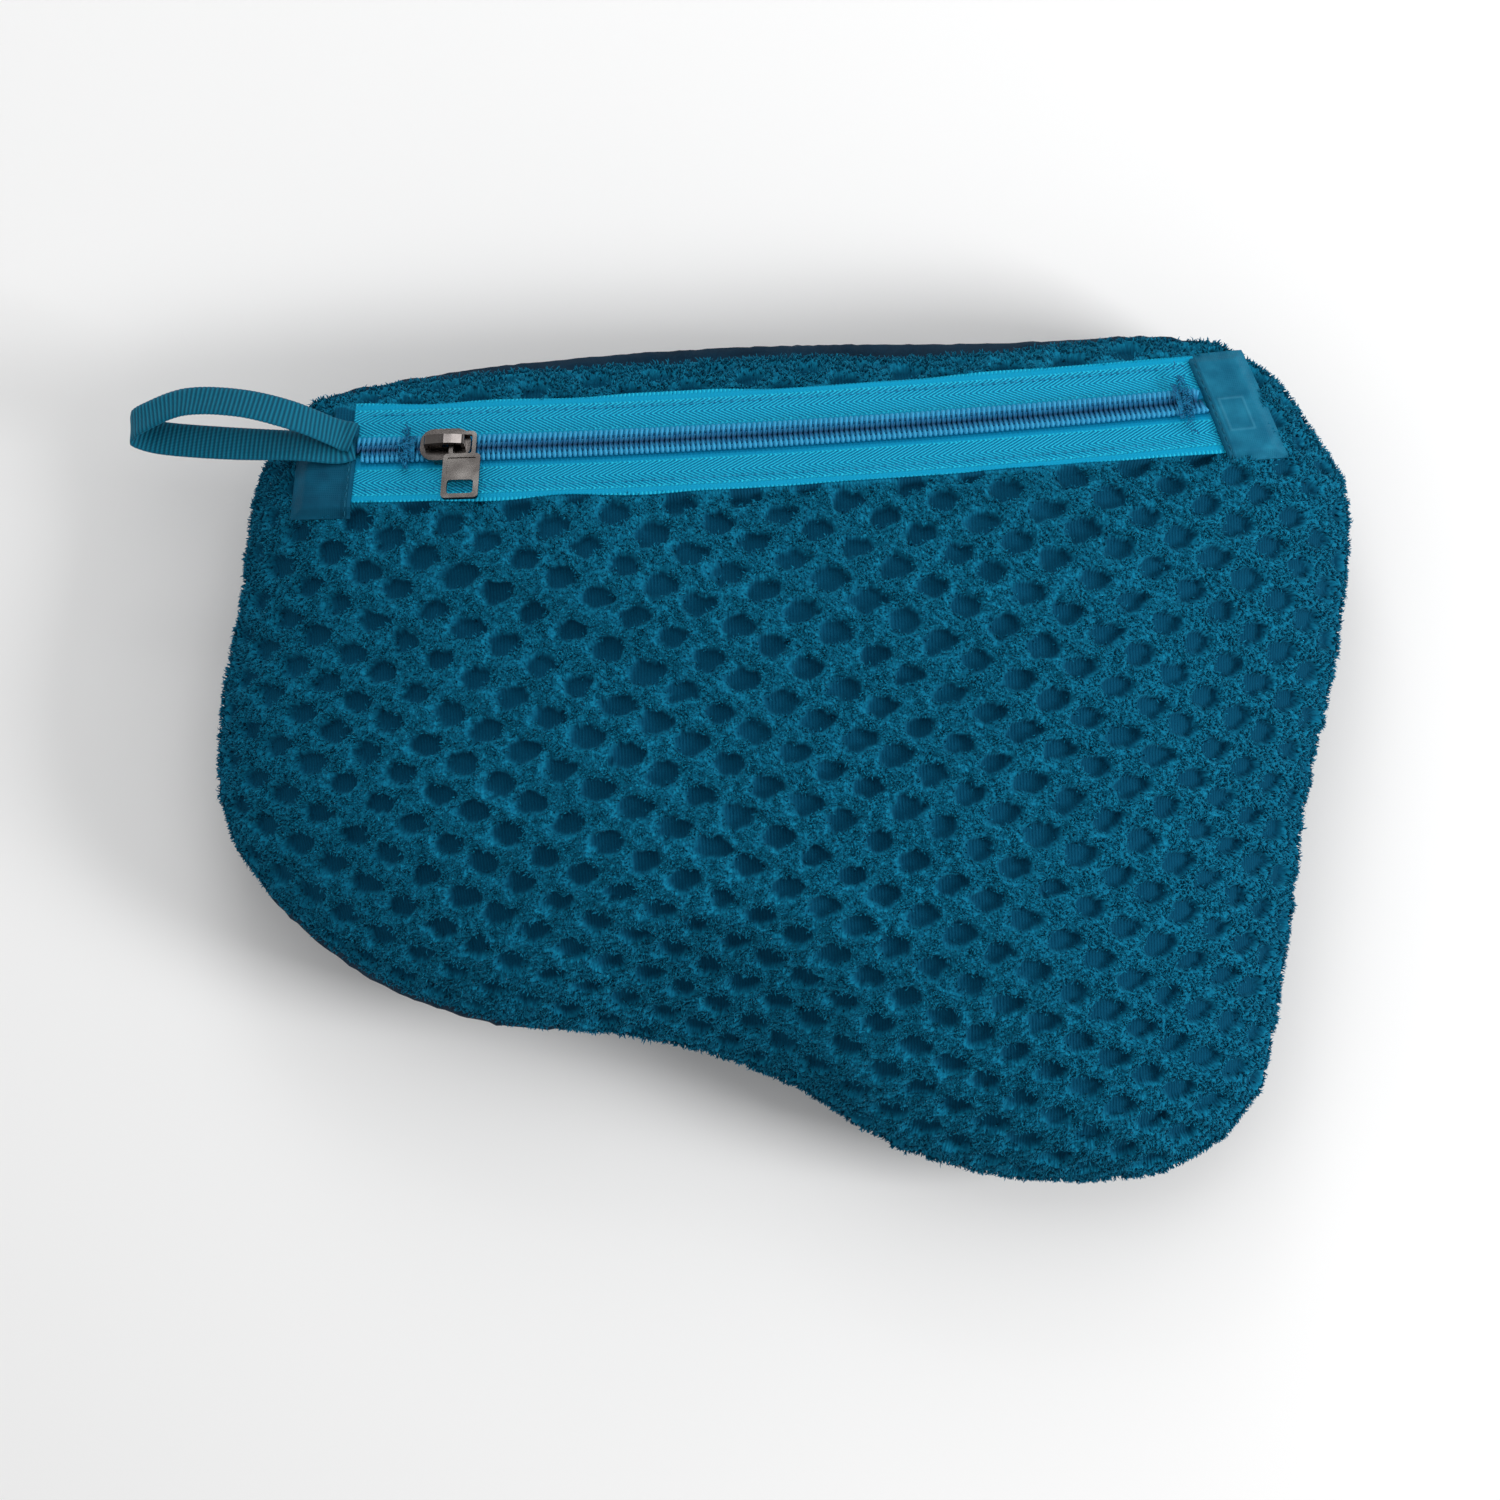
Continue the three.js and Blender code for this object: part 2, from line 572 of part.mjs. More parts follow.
// ---------------------------------------------------------------- slider and pull, in band axes
const topPlateLow = TAPE_THICKNESS + PIECE_GAP + COIL_HEIGHT + PIECE_GAP;
const topPlateHigh = topPlateLow + SLIDER_PLATE;
const bottomPlateHigh = -PIECE_GAP;
const pullLow = topPlateHigh + PIECE_GAP;
const pullHigh = pullLow + PULL_THICKNESS;
const crownUnder = pullHigh + PIECE_GAP;
const SPRING_HOLE = 1.8;

function sliderBody() {
  const half = SLIDER_LENGTH / 2;
  const wide = SLIDER_WIDTH / 2;
  const outline = (inset) =>
    rectangle(-half + inset, -wide + inset, half - inset, wide - inset, SLIDER_CORNER - inset);
  const top = extruded(outline(0), topPlateLow, topPlateHigh);
  const bottom = extruded(outline(0), bottomPlateHigh - SLIDER_PLATE, bottomPlateHigh);
  const wedgeShape = new THREE.Shape();
  wedgeShape.moveTo(WEDGE_CENTRE - WEDGE_LENGTH / 2, 0);
  wedgeShape.lineTo(WEDGE_CENTRE - WEDGE_LENGTH / 5, -WEDGE_HALF_WIDTH);
  wedgeShape.lineTo(WEDGE_CENTRE + WEDGE_LENGTH / 2, 0);
  wedgeShape.lineTo(WEDGE_CENTRE - WEDGE_LENGTH / 5, WEDGE_HALF_WIDTH);
  const wedge = extruded(wedgeShape, bottomPlateHigh - SLIDER_PLATE / 2, topPlateHigh - SLIDER_PLATE / 2);
  const run = half - SLIDER_CORNER;
  const flanges = [-1, 1].map((side) => {
    const inner = side * (wide - SLIDER_FLANGE);
    const outer = side * wide;
    const low = topPlateLow - SLIDER_FLANGE_DEPTH;
    const high = topPlateHigh - SLIDER_PLATE / 2;
    return box([-run, Math.min(inner, outer), low], [run, Math.max(inner, outer), high]);
  });
  const hole = SPRING_HOLE / 2;
  const springHole = box([-hole, -hole, topPlateLow - 1], [hole, hole, topPlateHigh + 1]);
  return cut(join(top, bottom, wedge, ...flanges), springHole);
}

/** The crown: an arched strap along the slider, with a foot at each end. */
function sliderCrown() {
  const foot = topPlateHigh + PIECE_GAP;
  const outer = CROWN_HALF_SPAN + CROWN_METAL / 2;
  const inner = CROWN_HALF_SPAN - CROWN_METAL / 2;
  const bend = 1.4;
  const arch = new THREE.Shape();
  arch.moveTo(-outer, foot);
  arch.lineTo(-inner, foot);
  arch.lineTo(-inner, crownUnder);
  arch.quadraticCurveTo(0, crownUnder + 0.7, inner, crownUnder);
  arch.lineTo(inner, foot);
  arch.lineTo(outer, foot);
  arch.lineTo(outer, crownUnder);
  arch.quadraticCurveTo(outer, crownUnder + CROWN_METAL, outer - bend, crownUnder + CROWN_METAL);
  arch.quadraticCurveTo(0, crownUnder + CROWN_METAL + 0.9, bend - outer, crownUnder + CROWN_METAL);
  arch.quadraticCurveTo(-outer, crownUnder + CROWN_METAL, -outer, crownUnder);
  const geometry = extruded(arch, -CROWN_WIDTH / 2, CROWN_WIDTH / 2);
  return geometry.rotateX(Math.PI / 2);
}

/** The lock spring: a leaf under the crown whose end dips through the plate to the coil. */
function lockSpring() {
  const high = crownUnder - PIECE_GAP;
  const low = topPlateLow + 0.1;
  const start = PIECE_GAP + CROWN_METAL / 2 - CROWN_HALF_SPAN;
  const leaf = new THREE.Shape();
  leaf.moveTo(start, high);
  leaf.lineTo(start, high - SPRING_METAL);
  leaf.lineTo(-SPRING_METAL / 2, high - SPRING_METAL);
  leaf.lineTo(-SPRING_METAL / 2, low);
  leaf.lineTo(SPRING_METAL / 2, low);
  leaf.lineTo(SPRING_METAL / 2, high);
  return extruded(leaf, -SPRING_WIDTH / 2, SPRING_WIDTH / 2).rotateX(Math.PI / 2);
}

/** The pull, about the crown's foot: an eye, a neck and a plate with a rim, a recess and a window. */
function pullTab() {
  const eye = PULL_EYE_WIDTH / 2;
  const wire = PULL_EYE_WIRE;
  const plateTop = -PULL_EYE_AHEAD;
  const plateEnd = plateTop - PULL_PLATE_LENGTH;
  const halfPlate = PULL_PLATE_WIDTH / 2;
  const eyeShape = rectangle(-eye, plateTop - 1, eye, PULL_EYE_BEHIND + wire, 1.6);
  const eyeHole = rectangle(wire - eye, plateTop, eye - wire, PULL_EYE_BEHIND, 0.8, new THREE.Path());
  eyeShape.holes.push(eyeHole);
  const plate = rectangle(-halfPlate, plateEnd, halfPlate, plateTop, 1.3);
  const windowLow = plateEnd + PULL_WINDOW_EDGE;
  const windowHigh = windowLow + PULL_WINDOW_HEIGHT;
  const halfWindow = PULL_WINDOW_WIDTH / 2;
  plate.holes.push(rectangle(-halfWindow, windowLow, halfWindow, windowHigh, 0.9, new THREE.Path()));
  const recessHalf = halfPlate - PULL_RIM;
  const recess = rectangle(-recessHalf, windowHigh + PULL_RIM, recessHalf, plateTop - PULL_RIM, RECESS_CORNER);
  return cut(
    join(extruded(eyeShape, pullLow, pullHigh, 3), extruded(plate, pullLow, pullHigh, 3)),
    extruded(recess, pullHigh - PULL_RECESS, pullHigh + 1, 2),
  );
}

// ---------------------------------------------------------------- end tabs, loop and filling
/** A patch of cloth that lies on the face over the zip's end, curved to it. */
function endTab(from, to, halfWidth, low, thickness, slant) {
  return slab(6, 8, (u, v, top) => {
    const t = lerp(-halfWidth, halfWidth, v);
    const s = lerp(from, to, u) - (slant * t) / halfWidth;
    const over = bandPoint(s, t, 0);
    return facePoint(over.x, over.y, low + (top ? thickness : 0));
  });
}

const tabLow = TAPE_THICKNESS + PIECE_GAP;
const farTabStart = chainEnd + PIECE_GAP;
const loopTabEnd = chainStart - PIECE_GAP;

/** The loop's centre line and width direction, from its root on the tab out to its tip and back. */
function loopStations() {
  const root = bandPoint(loopTabEnd - LOOP_ROOT_LENGTH, 0, 0);
  const tipX = root.x - LOOP_LENGTH;
  const low = facePoint(root.x, root.y, tabLow + TAB_THICKNESS + PIECE_GAP + WEBBING_THICKNESS / 2).z;
  const half = LOOP_SPREAD / 2;
  const at = (share, y, z, roll) => ({
    point: new THREE.Vector3(lerp(root.x, tipX, share), root.y + y, low + z - LOOP_DROOP * share ** 1.6),
    roll,
  });
  return [
    at(0.0, 1.5, 0.4, tilt),
    at(0.2, 3.2, 0.8, tilt),
    at(0.5, 5, 0.4, 0.3),
    at(0.8, 7.5, 0, 0.25),
    at(0.94, 9.5, 0.6, 0.3),
    at(1.0, 11.5, LOOP_BEND / 2, 0.35),
    at(0.93, 14, LOOP_BEND, 0.5),
    at(0.72, 5 + LOOP_SPREAD, LOOP_BEND + 1.5, 0.6),
    at(0.45, 3.5 + LOOP_SPREAD, LOOP_BEND + 2, 0.6),
    at(0.2, 1.5 + half * 1.6, LOOP_BEND, 0.5),
    at(0.0, 4 + half * 0.5, WEBBING_THICKNESS + 1.2, tilt),
  ];
}

/** Webbing swept along stations, its width turned by each station's roll. */
function webbingSweep(stations, steps) {
  const curve = new THREE.CatmullRomCurve3(stations.map(({ point }) => point), false, 'centripetal');
  const frames = Array.from({ length: steps + 1 }, (_, i) => {
    const share = i / steps;
    const place = share * (stations.length - 1);
    const before = Math.min(Math.floor(place), stations.length - 2);
    const roll = lerp(stations[before].roll, stations[before + 1].roll, place - before);
    const along = curve.getTangent(share);
    const width = new THREE.Vector3(0, Math.cos(roll), -Math.sin(roll));
    width.addScaledVector(along, -width.dot(along)).normalize();
    return { point: curve.getPoint(share), width, out: along.clone().cross(width) };
  });
  return slab(steps, 2, (u, v, top) => {
    const { point, width, out } = frames[Math.round(u * steps)];
    return point.clone()
      .addScaledVector(width, (v - 0.5) * WEBBING_WIDTH)
      .addScaledVector(out, (top - 0.5) * WEBBING_THICKNESS);
  });
}

/** The stretch of webbing sewn flat on the loop-end tab. */
function loopRoot() {
  const low = tabLow + TAB_THICKNESS + PIECE_GAP;
  const from = loopTabEnd - LOOP_ROOT_LENGTH + PIECE_GAP * 2;
  return slab(3, 3, (u, v, top) => {
    const over = bandPoint(lerp(from, loopTabEnd, u), lerp(-2.5, 8.5, v), 0);
    return facePoint(over.x, over.y, low + (top ? 2 * WEBBING_THICKNESS : 0));
  });
}

/** The folded blanket: it fills the pouch, with folds cut in from alternate ends. */
function packedBlanket() {
  const frontInset = threadDepth + THREAD + BLANKET_CLEARANCE;
  const backInset = WOVEN_THICKNESS + BLANKET_CLEARANCE;
  const girthInset = Math.max(frontInset, backInset);
  const filling = revolved(GIRTH_STEPS / 2, (angle) => [
    ...steps(BLANKET_DOME_STEPS + 1).map((q) => domePoint(angle, q, lerp(frontInset, girthInset, q))),
    ...steps(BLANKET_BACK_STEPS + 1).slice(1)
      .map((q) => backPoint(angle, q, lerp(girthInset, backInset, q))),
    backPoint(angle, 2, backInset),
  ]);
  const room = bandSpace(
    chainStart - TAB_LENGTH, chainEnd + TAB_LENGTH,
    -SLOT_HALF_WIDTH - TAPE_INNER_EDGE, SLOT_HALF_WIDTH + TAPE_INNER_EDGE,
    -BLANKET_SLIDER_ROOM - FLEECE_THICKNESS, DOME_RISE,
  );
  const bottom = backInset;
  const height = EQUATOR_HEIGHT + DOME_RISE - frontInset - bottom;
  const ply = height / BLANKET_PLIES;
  const folds = Array.from({ length: BLANKET_PLIES - 1 }, (_, i) => {
    const z = bottom + (i + 1) * ply;
    const lift = Math.max(0, z - EQUATOR_HEIGHT) / DOME_RISE;
    const reach = girthShare(1 - (2 / Math.PI) * Math.asin(Math.min(1, lift)));
    const side = i % 2 ? 1 : -1;
    const uncut = side * ((POUCH_LENGTH / 2) * reach * BLANKET_UNCUT_SHARE - 2 * ply);
    const open = -side * POUCH_LENGTH;
    return box(
      [Math.min(uncut, open), -POUCH_WIDTH, z - BLANKET_FOLD_GAP / 2],
      [Math.max(uncut, open), POUCH_WIDTH, z + BLANKET_FOLD_GAP / 2],
    );
  });
  return cut(filling, room, ...folds);
}

// ---------------------------------------------------------------- assembly
add('front_panel', frontPanel(), fleece);
add('back_panel', backPanel(), woven);
const seamClearance = PIECE_GAP + FACET_SAG * Math.hypot(POUCH_LENGTH, POUCH_WIDTH);
const bindingDepth = FLEECE_THICKNESS + seamClearance;
const threadDepth = bindingDepth + BINDING_THICKNESS + seamClearance / 2;
add('seam_binding', seamRing(BINDING_WIDTH, bindingDepth, BINDING_THICKNESS), woven);
add('seam_thread', seamRing(THREAD, threadDepth, THREAD), thread);
add('packed_blanket', packedBlanket(), innerFleece);

for (const [side, name] of [[1, 'upper'], [-1, 'lower']]) {
  add(`zip_tape_${name}`, zipTape(side), tape);
  add(`zip_coil_${name}`, zipCoil(side), coil);
  add(`tape_stitch_${name}`, tapeStitch(side), thread);
}

const loopTackAt = sliderAt - SLIDER_LENGTH / 2 - BARTACK_FROM_SLIDER - BARTACK_LENGTH / 2;
add('bar_tack_loop_end', barTack(loopTackAt, BARTACK_LOOP_END_WIDTH), thread);
add('bar_tack_far_end', barTack(chainEnd - BARTACK_FROM_END, BARTACK_WIDTH), thread);

add(
  'end_tab_far',
  endTab(farTabStart, farTabStart + TAB_LENGTH, tabHalfWidth, tabLow, TAB_THICKNESS, TAPE_END_SLANT),
  tabCloth);
add(
  'end_tab_loop',
  endTab(loopTabEnd, loopTabEnd - TAB_LENGTH, tabHalfWidth, tabLow, TAB_THICKNESS, 0),
  tabCloth,
);
const tabStitchLow = tabLow + TAB_THICKNESS + PIECE_GAP;
const farStitch = farTabStart + TAB_STITCH_INSET;
add(
  'end_tab_stitch_far',
  endTab(farStitch, farStitch + THREAD, tabHalfWidth - THREAD, tabStitchLow, THREAD / 2, TAPE_END_SLANT),
  thread,
);

const slider = new THREE.Group();
const sliderOrigin = bandPoint(sliderAt, 0, 0);
const turn = sliderAt / zipRadius;
const sliderAxes = [X_AXIS, across, outOfBand].map((axis) => axis.clone().applyAxisAngle(bendAxis, turn));
slider.quaternion.setFromRotationMatrix(new THREE.Matrix4().makeBasis(...sliderAxes));
slider.position.copy(sliderOrigin);
group.add(slider);
add('slider_body', sliderBody(), gunmetal, slider);
add('slider_crown', sliderCrown(), gunmetal, slider);
add('slider_lock_spring', lockSpring(), springSteel, slider);
const pull = add('pull_tab', pullTab(), gunmetal, slider);
pull.position.x = CROWN_HALF_SPAN;

const LOOP_STEPS = 36;
add('grab_loop', webbingSweep(loopStations(), LOOP_STEPS), webbing);
add('loop_root', loopRoot(), webbing);

// The origin is the middle of the whole part's box, on the table.
const bounds = new THREE.Box3().setFromObject(group, true);
const middle = bounds.getCenter(new THREE.Vector3());
group.position.set(-middle.x, -middle.y, -bounds.min.z);
group.updateMatrixWorld(true);

export default group;
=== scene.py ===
"""A camp blanket packed in its own fleece pouch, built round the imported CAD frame."""

import json
import math

import bpy
import numpy as np
from mathutils import Matrix, Vector
from mathutils.bvhtree import BVHTree


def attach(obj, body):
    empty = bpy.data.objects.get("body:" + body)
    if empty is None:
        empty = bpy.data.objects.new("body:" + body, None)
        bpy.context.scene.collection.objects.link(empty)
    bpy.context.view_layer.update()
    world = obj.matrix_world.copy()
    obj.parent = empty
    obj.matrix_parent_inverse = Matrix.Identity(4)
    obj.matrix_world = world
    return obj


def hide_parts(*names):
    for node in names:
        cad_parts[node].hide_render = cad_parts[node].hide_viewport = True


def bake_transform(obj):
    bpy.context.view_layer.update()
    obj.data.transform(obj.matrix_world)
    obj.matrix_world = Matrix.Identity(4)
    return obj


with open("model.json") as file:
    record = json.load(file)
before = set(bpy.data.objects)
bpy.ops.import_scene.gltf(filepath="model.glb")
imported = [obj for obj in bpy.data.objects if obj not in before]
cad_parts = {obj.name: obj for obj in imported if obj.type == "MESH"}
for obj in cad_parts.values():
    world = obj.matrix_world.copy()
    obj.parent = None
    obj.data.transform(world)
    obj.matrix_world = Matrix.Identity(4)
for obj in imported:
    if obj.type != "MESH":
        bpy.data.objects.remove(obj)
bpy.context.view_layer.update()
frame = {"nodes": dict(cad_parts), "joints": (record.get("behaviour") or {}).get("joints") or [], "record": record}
scene = bpy.context.scene

# All lengths are in millimetres and are turned into metres when a mesh is written.
MM = 0.001
SEED = 7
NOISE_TABLE = 256
RAY_START = 0.5  # metres from the pouch's middle, well outside it

EQUATOR_HEIGHT = 28.0  # height of the pouch's widest girth
BASE_COLUMNS = 360  # directions round the crown in the smooth pouch surface
BASE_ROWS = 200  # steps from the crown over the girth to the middle of the back
EVEN_ROWS = 420  # even steps of the table that the skin is read from
SEAM_BINS = 120  # directions in which the seam's height is read off
SEAM_SMOOTHING = 14
SEAM_ABOVE_THREAD = 1.0
SKIN_SLACK = 0.3  # how far smoothing may sink the skin
SLIPPED_RAY = 4.0  # a ray this far inside its neighbours went through the seam's gap
SIM_GRID = 120, 60  # directions and steps of the skin that is blown out
SIM_VOXEL = 6.0  # remesh size for the cloth simulation
SIM_PRESSURE = 4.0
SIM_FRAMES = 20
SIM_SHRINK = 2.0  # the pouch starts this much smaller, because pressure swells it
SIM_LUMPS = 0.8  # unevenness of the start
SIM_CAP = 6.0  # no point moves further than this

FLEECE_STEP = 0.65  # mesh spacing of the fleece face
PIT_RIGHT = np.array([10.5, -6.4])  # from one pit to the next, down to the right
PIT_UP = np.array([8.5, 9.0])  # from one pit to the next, up to the right
PIT_HALF_LENGTH = 5.6
PIT_HALF_WIDTH = 3.9
PIT_DEPTH = 3.2
PIT_WOBBLE = 1.1  # how far the rows of pits wander
KNIT_RIB = 0.95  # pitch of the knit ribs on the pit floors
PILE_HEIGHT = 0.4
CLUMP_HEIGHT = 0.75  # relief of the curled pile on the walls
TUFTS = 90000
TUFT_LENGTH = 1.9
TUFT_WIDTH = 0.62
TUFT_CORNERS = 7  # two rings of three and a tip
BAND_REACH = 10.5  # how far past the chain's ends the fleece lies under the tabs

BACK_GRID = 420, 70  # directions and steps of the back
YARN = 0.8  # pitch of the plain weaves
PUCKER_DEPTH = 0.7  # gathers of the back next to the seam
WRINKLE = 0.5

TAPE_STEP = 0.3
TAPE_COLUMNS = 34  # across a tape
TAPE_WAVE = 0.8  # how far the tape's outer edge waves
TAPE_LIFT = 0.5  # how far that edge stands off the fleece
EDGE_BEAD = 1.05  # pitch of the beads along that edge
TWILL_START = 5.9  # from the middle of the chain to the first chevron
TWILL_COLUMN = 4.3  # the width over which a chevron's arm runs
TWILL_SLANT = 1.8
TWILL_PITCH = 1.7
BEAD_PITCH = 1.25  # of the dotted rows beside the twill
COIL_PITCH = 1.5
COIL_TURN_POINTS = 14
COIL_WIRE = 0.47  # radius of the coil's filament
COIL_PAST_MIDDLE = 0.55
COIL_VALLEY = 0.8  # how much lower the turns lie along the chain's middle
COIL_LEAN = 0.55  # how far a turn leans along the chain
CORE_RADIUS = 0.42

STITCH_LENGTH = 2.2
STITCH_GAP = 0.7
THREAD_RADIUS = 0.2
TACK_THREADS = 11
TACK_LOOSE_ENDS = 90
TAB_GRID = 110, 60  # across and along an end tab
TAB_THICKNESS = 0.75
TAB_SINK = 2.6  # how far its free edges sink into the pile
HEM_WIDTH = 2.6  # the folded edge of an end tab
HEM_SEAM = HEM_WIDTH * 0.62  # from that edge to its stitches
BOX_ALONG = 0.42  # middle of the stitched rectangle, as a share of the tab's length
BOX_ACROSS = -4.5
BOX_HALF = 3.6, 5.5
WEBBING_HALF_WIDTH = 5.0
WEBBING_HALF_THICKNESS = 0.62
WEBBING_RIB = 1.35
WEBBING_POINTS = 15  # across each side of the strap
# the strap's centre line from its pivot, along its lower limb, round the tip and back, with its roll
LOOP_ROUTE = [
    (5.1, -5.1, -2.7, 0.48), (0.0, -5.9, -2.7, 0.48), (-12.0, -4.2, -3.0, 0.48), (-30.0, -2.4, -5.7, 0.3),
    (-48.0, 0.1, -9.4, 0.25), (-56.4, 2.1, -10.7, 0.3), (-60.0, 4.1, -8.9, 0.35), (-55.8, 6.6, -4.6, 0.5),
    (-43.2, 10.1, -0.4, 0.6), (-27.0, 8.6, 2.9, 0.6), (-12.0, 4.1, 2.7, 0.5), (0.0, -1.3, -2.4, 0.48),
    (5.3, -3.2, -2.0, 0.48),
]
FILLING_GRID = 180, 120
FILLING_PLIES = 6
FILLING_FOLD = 3.0  # depth of the folds between the plies


def unit(v):
    """v at length 1, along the last axis."""
    v = np.asarray(v, float)
    return v / np.linalg.norm(v, axis=-1, keepdims=True)


def vertices(node):
    """A CAD node's vertices."""
    mesh = frame["nodes"][node].data
    co = np.zeros(len(mesh.vertices) * 3, np.float32)
    mesh.vertices.foreach_get("co", co)
    return co.reshape(-1, 3).astype(float) / MM


# ---- the zip's band, from the joints

JOINTS = {joint["name"]: joint for joint in frame["joints"]}
bend_centre = np.array(JOINTS["slider_travel"]["pos_m"]) / MM
bend_axis = unit(JOINTS["slider_travel"]["axis"])
across = unit(JOINTS["loop_lift"]["axis"])
RIGHT = np.array([1.0, 0.0, 0.0])
outward = np.cross(RIGHT, across)
sag = np.cross(RIGHT, bend_axis)


def radial_parts(points):
    """Turn about the bend axis, distance from it and place along it."""
    v = points - bend_centre
    turn = np.arctan2(v @ RIGHT, v @ sag)
    return turn, np.hypot(v @ RIGHT, v @ sag), v @ bend_axis


tape_points = np.vstack([vertices("zip_tape_upper"), vertices("zip_tape_lower")])
band_radius = radial_parts(tape_points)[1].mean()


def band_point(s, t, h):
    """Points at s along the chain, t across it towards the upper tape and h out of the tape."""
    s, t, h = np.broadcast_arrays(*(np.asarray(x, float) for x in (s, t, h)))
    flat = band_radius * sag + t[..., None] * across + h[..., None] * outward
    along, up = (flat @ bend_axis)[..., None], (flat @ sag)[..., None]
    turn = (s / band_radius)[..., None]
    return bend_centre + along * bend_axis + up * (np.cos(turn) * sag + np.sin(turn) * RIGHT)


def band_coordinates(points):
    """The s, t and h of points."""
    turn, distance, along = radial_parts(points)
    radial = distance - band_radius
    t = along * (across @ bend_axis) + radial * (across @ sag)
    h = along * (outward @ bend_axis) + radial * (outward @ sag)
    return turn * band_radius, t, h


def band_box(node):
    """Lowest and highest s, t and h of a CAD node."""
    s, t, h = band_coordinates(vertices(node))
    return np.array([s.min(), t.min(), h.min()]), np.array([s.max(), t.max(), h.max()])


tape_inner, tape_outer = (corner[1] for corner in band_box("zip_tape_upper"))
tape_base, tape_top = (corner[2] for corner in band_box("zip_tape_lower"))
chain_start, chain_end = (corner[0] for corner in band_box("zip_coil_upper"))


# ---- small helpers for numbers


def noise(x, y, number):
    """Smooth noise from -1 to 1 over a plane, with a feature size of about 1; each number has its own."""
    table = np.random.default_rng(SEED + number).uniform(-1, 1, (NOISE_TABLE, NOISE_TABLE))
    ix, iy = np.floor(x).astype(int), np.floor(y).astype(int)
    fx, fy = smoothstep(0, 1, x - ix), smoothstep(0, 1, y - iy)

    def along(row):
        left, right = (table[(ix + step) % NOISE_TABLE, (iy + row) % NOISE_TABLE] for step in (0, 1))
        return left * (1 - fx) + right * fx

    return along(0) * (1 - fy) + along(1) * fy


def smoothstep(low, high, x):
    x = np.clip((x - low) / (high - low), 0, 1)
    return x * x * (3 - 2 * x)


# ---- meshes


def grid_faces(rows, columns, wrap=False):
    """Quads of a rows x columns grid of vertices in row-major order; wrap joins each row's ends."""
    i = np.arange(rows - 1)[:, None] * columns
    j = np.arange(columns if wrap else columns - 1)[None, :]
    after = (j + 1) % columns
    return np.stack([i + j, i + after, i + columns + after, i + columns + j], -1).reshape(-1, 4)


def tube_faces(rings, around):
    """The sides of a tube and its two ends."""
    ends = np.stack([np.arange(around)[::-1], np.arange(around) + (rings - 1) * around])
    return grid_faces(rings, around, wrap=True), ends


def cap_faces(columns, pole, first, below):
    """Triangles between a ring of vertices that starts at first and a pole above or below it."""
    here = np.arange(columns)
    after = np.roll(here, -1)
    pair = (after, here) if below else (here, after)
    return np.stack([np.full(columns, pole), first + pair[0], first + pair[1]], -1)


def round_shell(points):
    """Points and faces of a closed shell given as directions x steps from its top to its bottom."""
    columns, rows = points.shape[:2]
    rings = points[:, 1:-1].transpose(1, 0, 2).reshape(-1, 3)
    count = len(rings)
    faces = [grid_faces(rows - 2, columns, wrap=True)[:, ::-1],
             cap_faces(columns, count, 0, False), cap_faces(columns, count + 1, count - columns, True)]
    return np.vstack([rings, points[:, 0].mean(0), points[:, -1].mean(0)]), faces


def linked(name, data):
    obj = bpy.data.objects.new(name, data)
    scene.collection.objects.link(obj)
    return obj


def mesh_object(name, points, faces, place=None):
    """A smooth object from points and face arrays. place is a vector per point for its material."""
    points = np.asarray(points, float).reshape(-1, 3)
    mesh = bpy.data.meshes.new(name)
    mesh.vertices.add(len(points))
    mesh.vertices.foreach_set("co", (points * MM).ravel().astype(np.float32))
    corners = np.concatenate([f.ravel() for f in faces]).astype(np.int32)
    sizes = np.concatenate([np.full(len(f), f.shape[1]) for f in faces])
    starts = np.concatenate([[0], np.cumsum(sizes)[:-1]]).astype(np.int32)
    mesh.loops.add(len(corners))
    mesh.loops.foreach_set("vertex_index", corners)
    mesh.polygons.add(len(sizes))
    mesh.polygons.foreach_set("loop_start", starts)
    mesh.update(calc_edges=True)
    if place is not None:
        layer = mesh.attributes.new("place", "FLOAT_VECTOR", "POINT")
        layer.data.foreach_set("vector", np.asarray(place, float).ravel().astype(np.float32))
    mesh.shade_smooth()
    return linked(name, mesh)


def finish(obj, material, replaced=()):
    """A finished piece of the pouch itself, which is the root body."""
    obj.data.materials.append(material)
    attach(obj, "root")
    if replaced:
        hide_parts(*replaced)
    return obj


def swept(name, sections, place=None):
    """A closed skin over sections, an array of rings x points x 3."""
    return mesh_object(name, sections, tube_faces(*sections.shape[:2]), place)


def tube_sections(path, radius, sides):
    """Rings round a path; the rings turn as little as they can from one to the next."""
    tangent = unit(np.gradient(path, axis=0))
    side = np.zeros_like(path)
    side[0] = unit(np.cross(tangent[0], [0.3, 0.5, 0.81]))
    for k in range(1, len(path)):
        side[k] = unit(side[k - 1] - tangent[k] * (side[k - 1] @ tangent[k]))
    other = np.cross(tangent, side)
    angle = np.arange(sides) * math.tau / sides
    ring = np.cos(angle)[None, :, None] * side[:, None] + np.sin(angle)[None, :, None] * other[:, None]
    return path[:, None] + ring * np.asarray(radius, float).reshape(-1, 1, 1)


# ---- materials


def srgb(red, green, blue):
    """A colour given as it shows on a screen, 0 to 255, in the shader's linear values."""
    c = np.array([red, green, blue]) / 255
    linear = np.where(c <= 0.04045, c / 12.92, ((c + 0.055) / 1.055) ** 2.4)
    return (*linear.tolist(), 1.0)


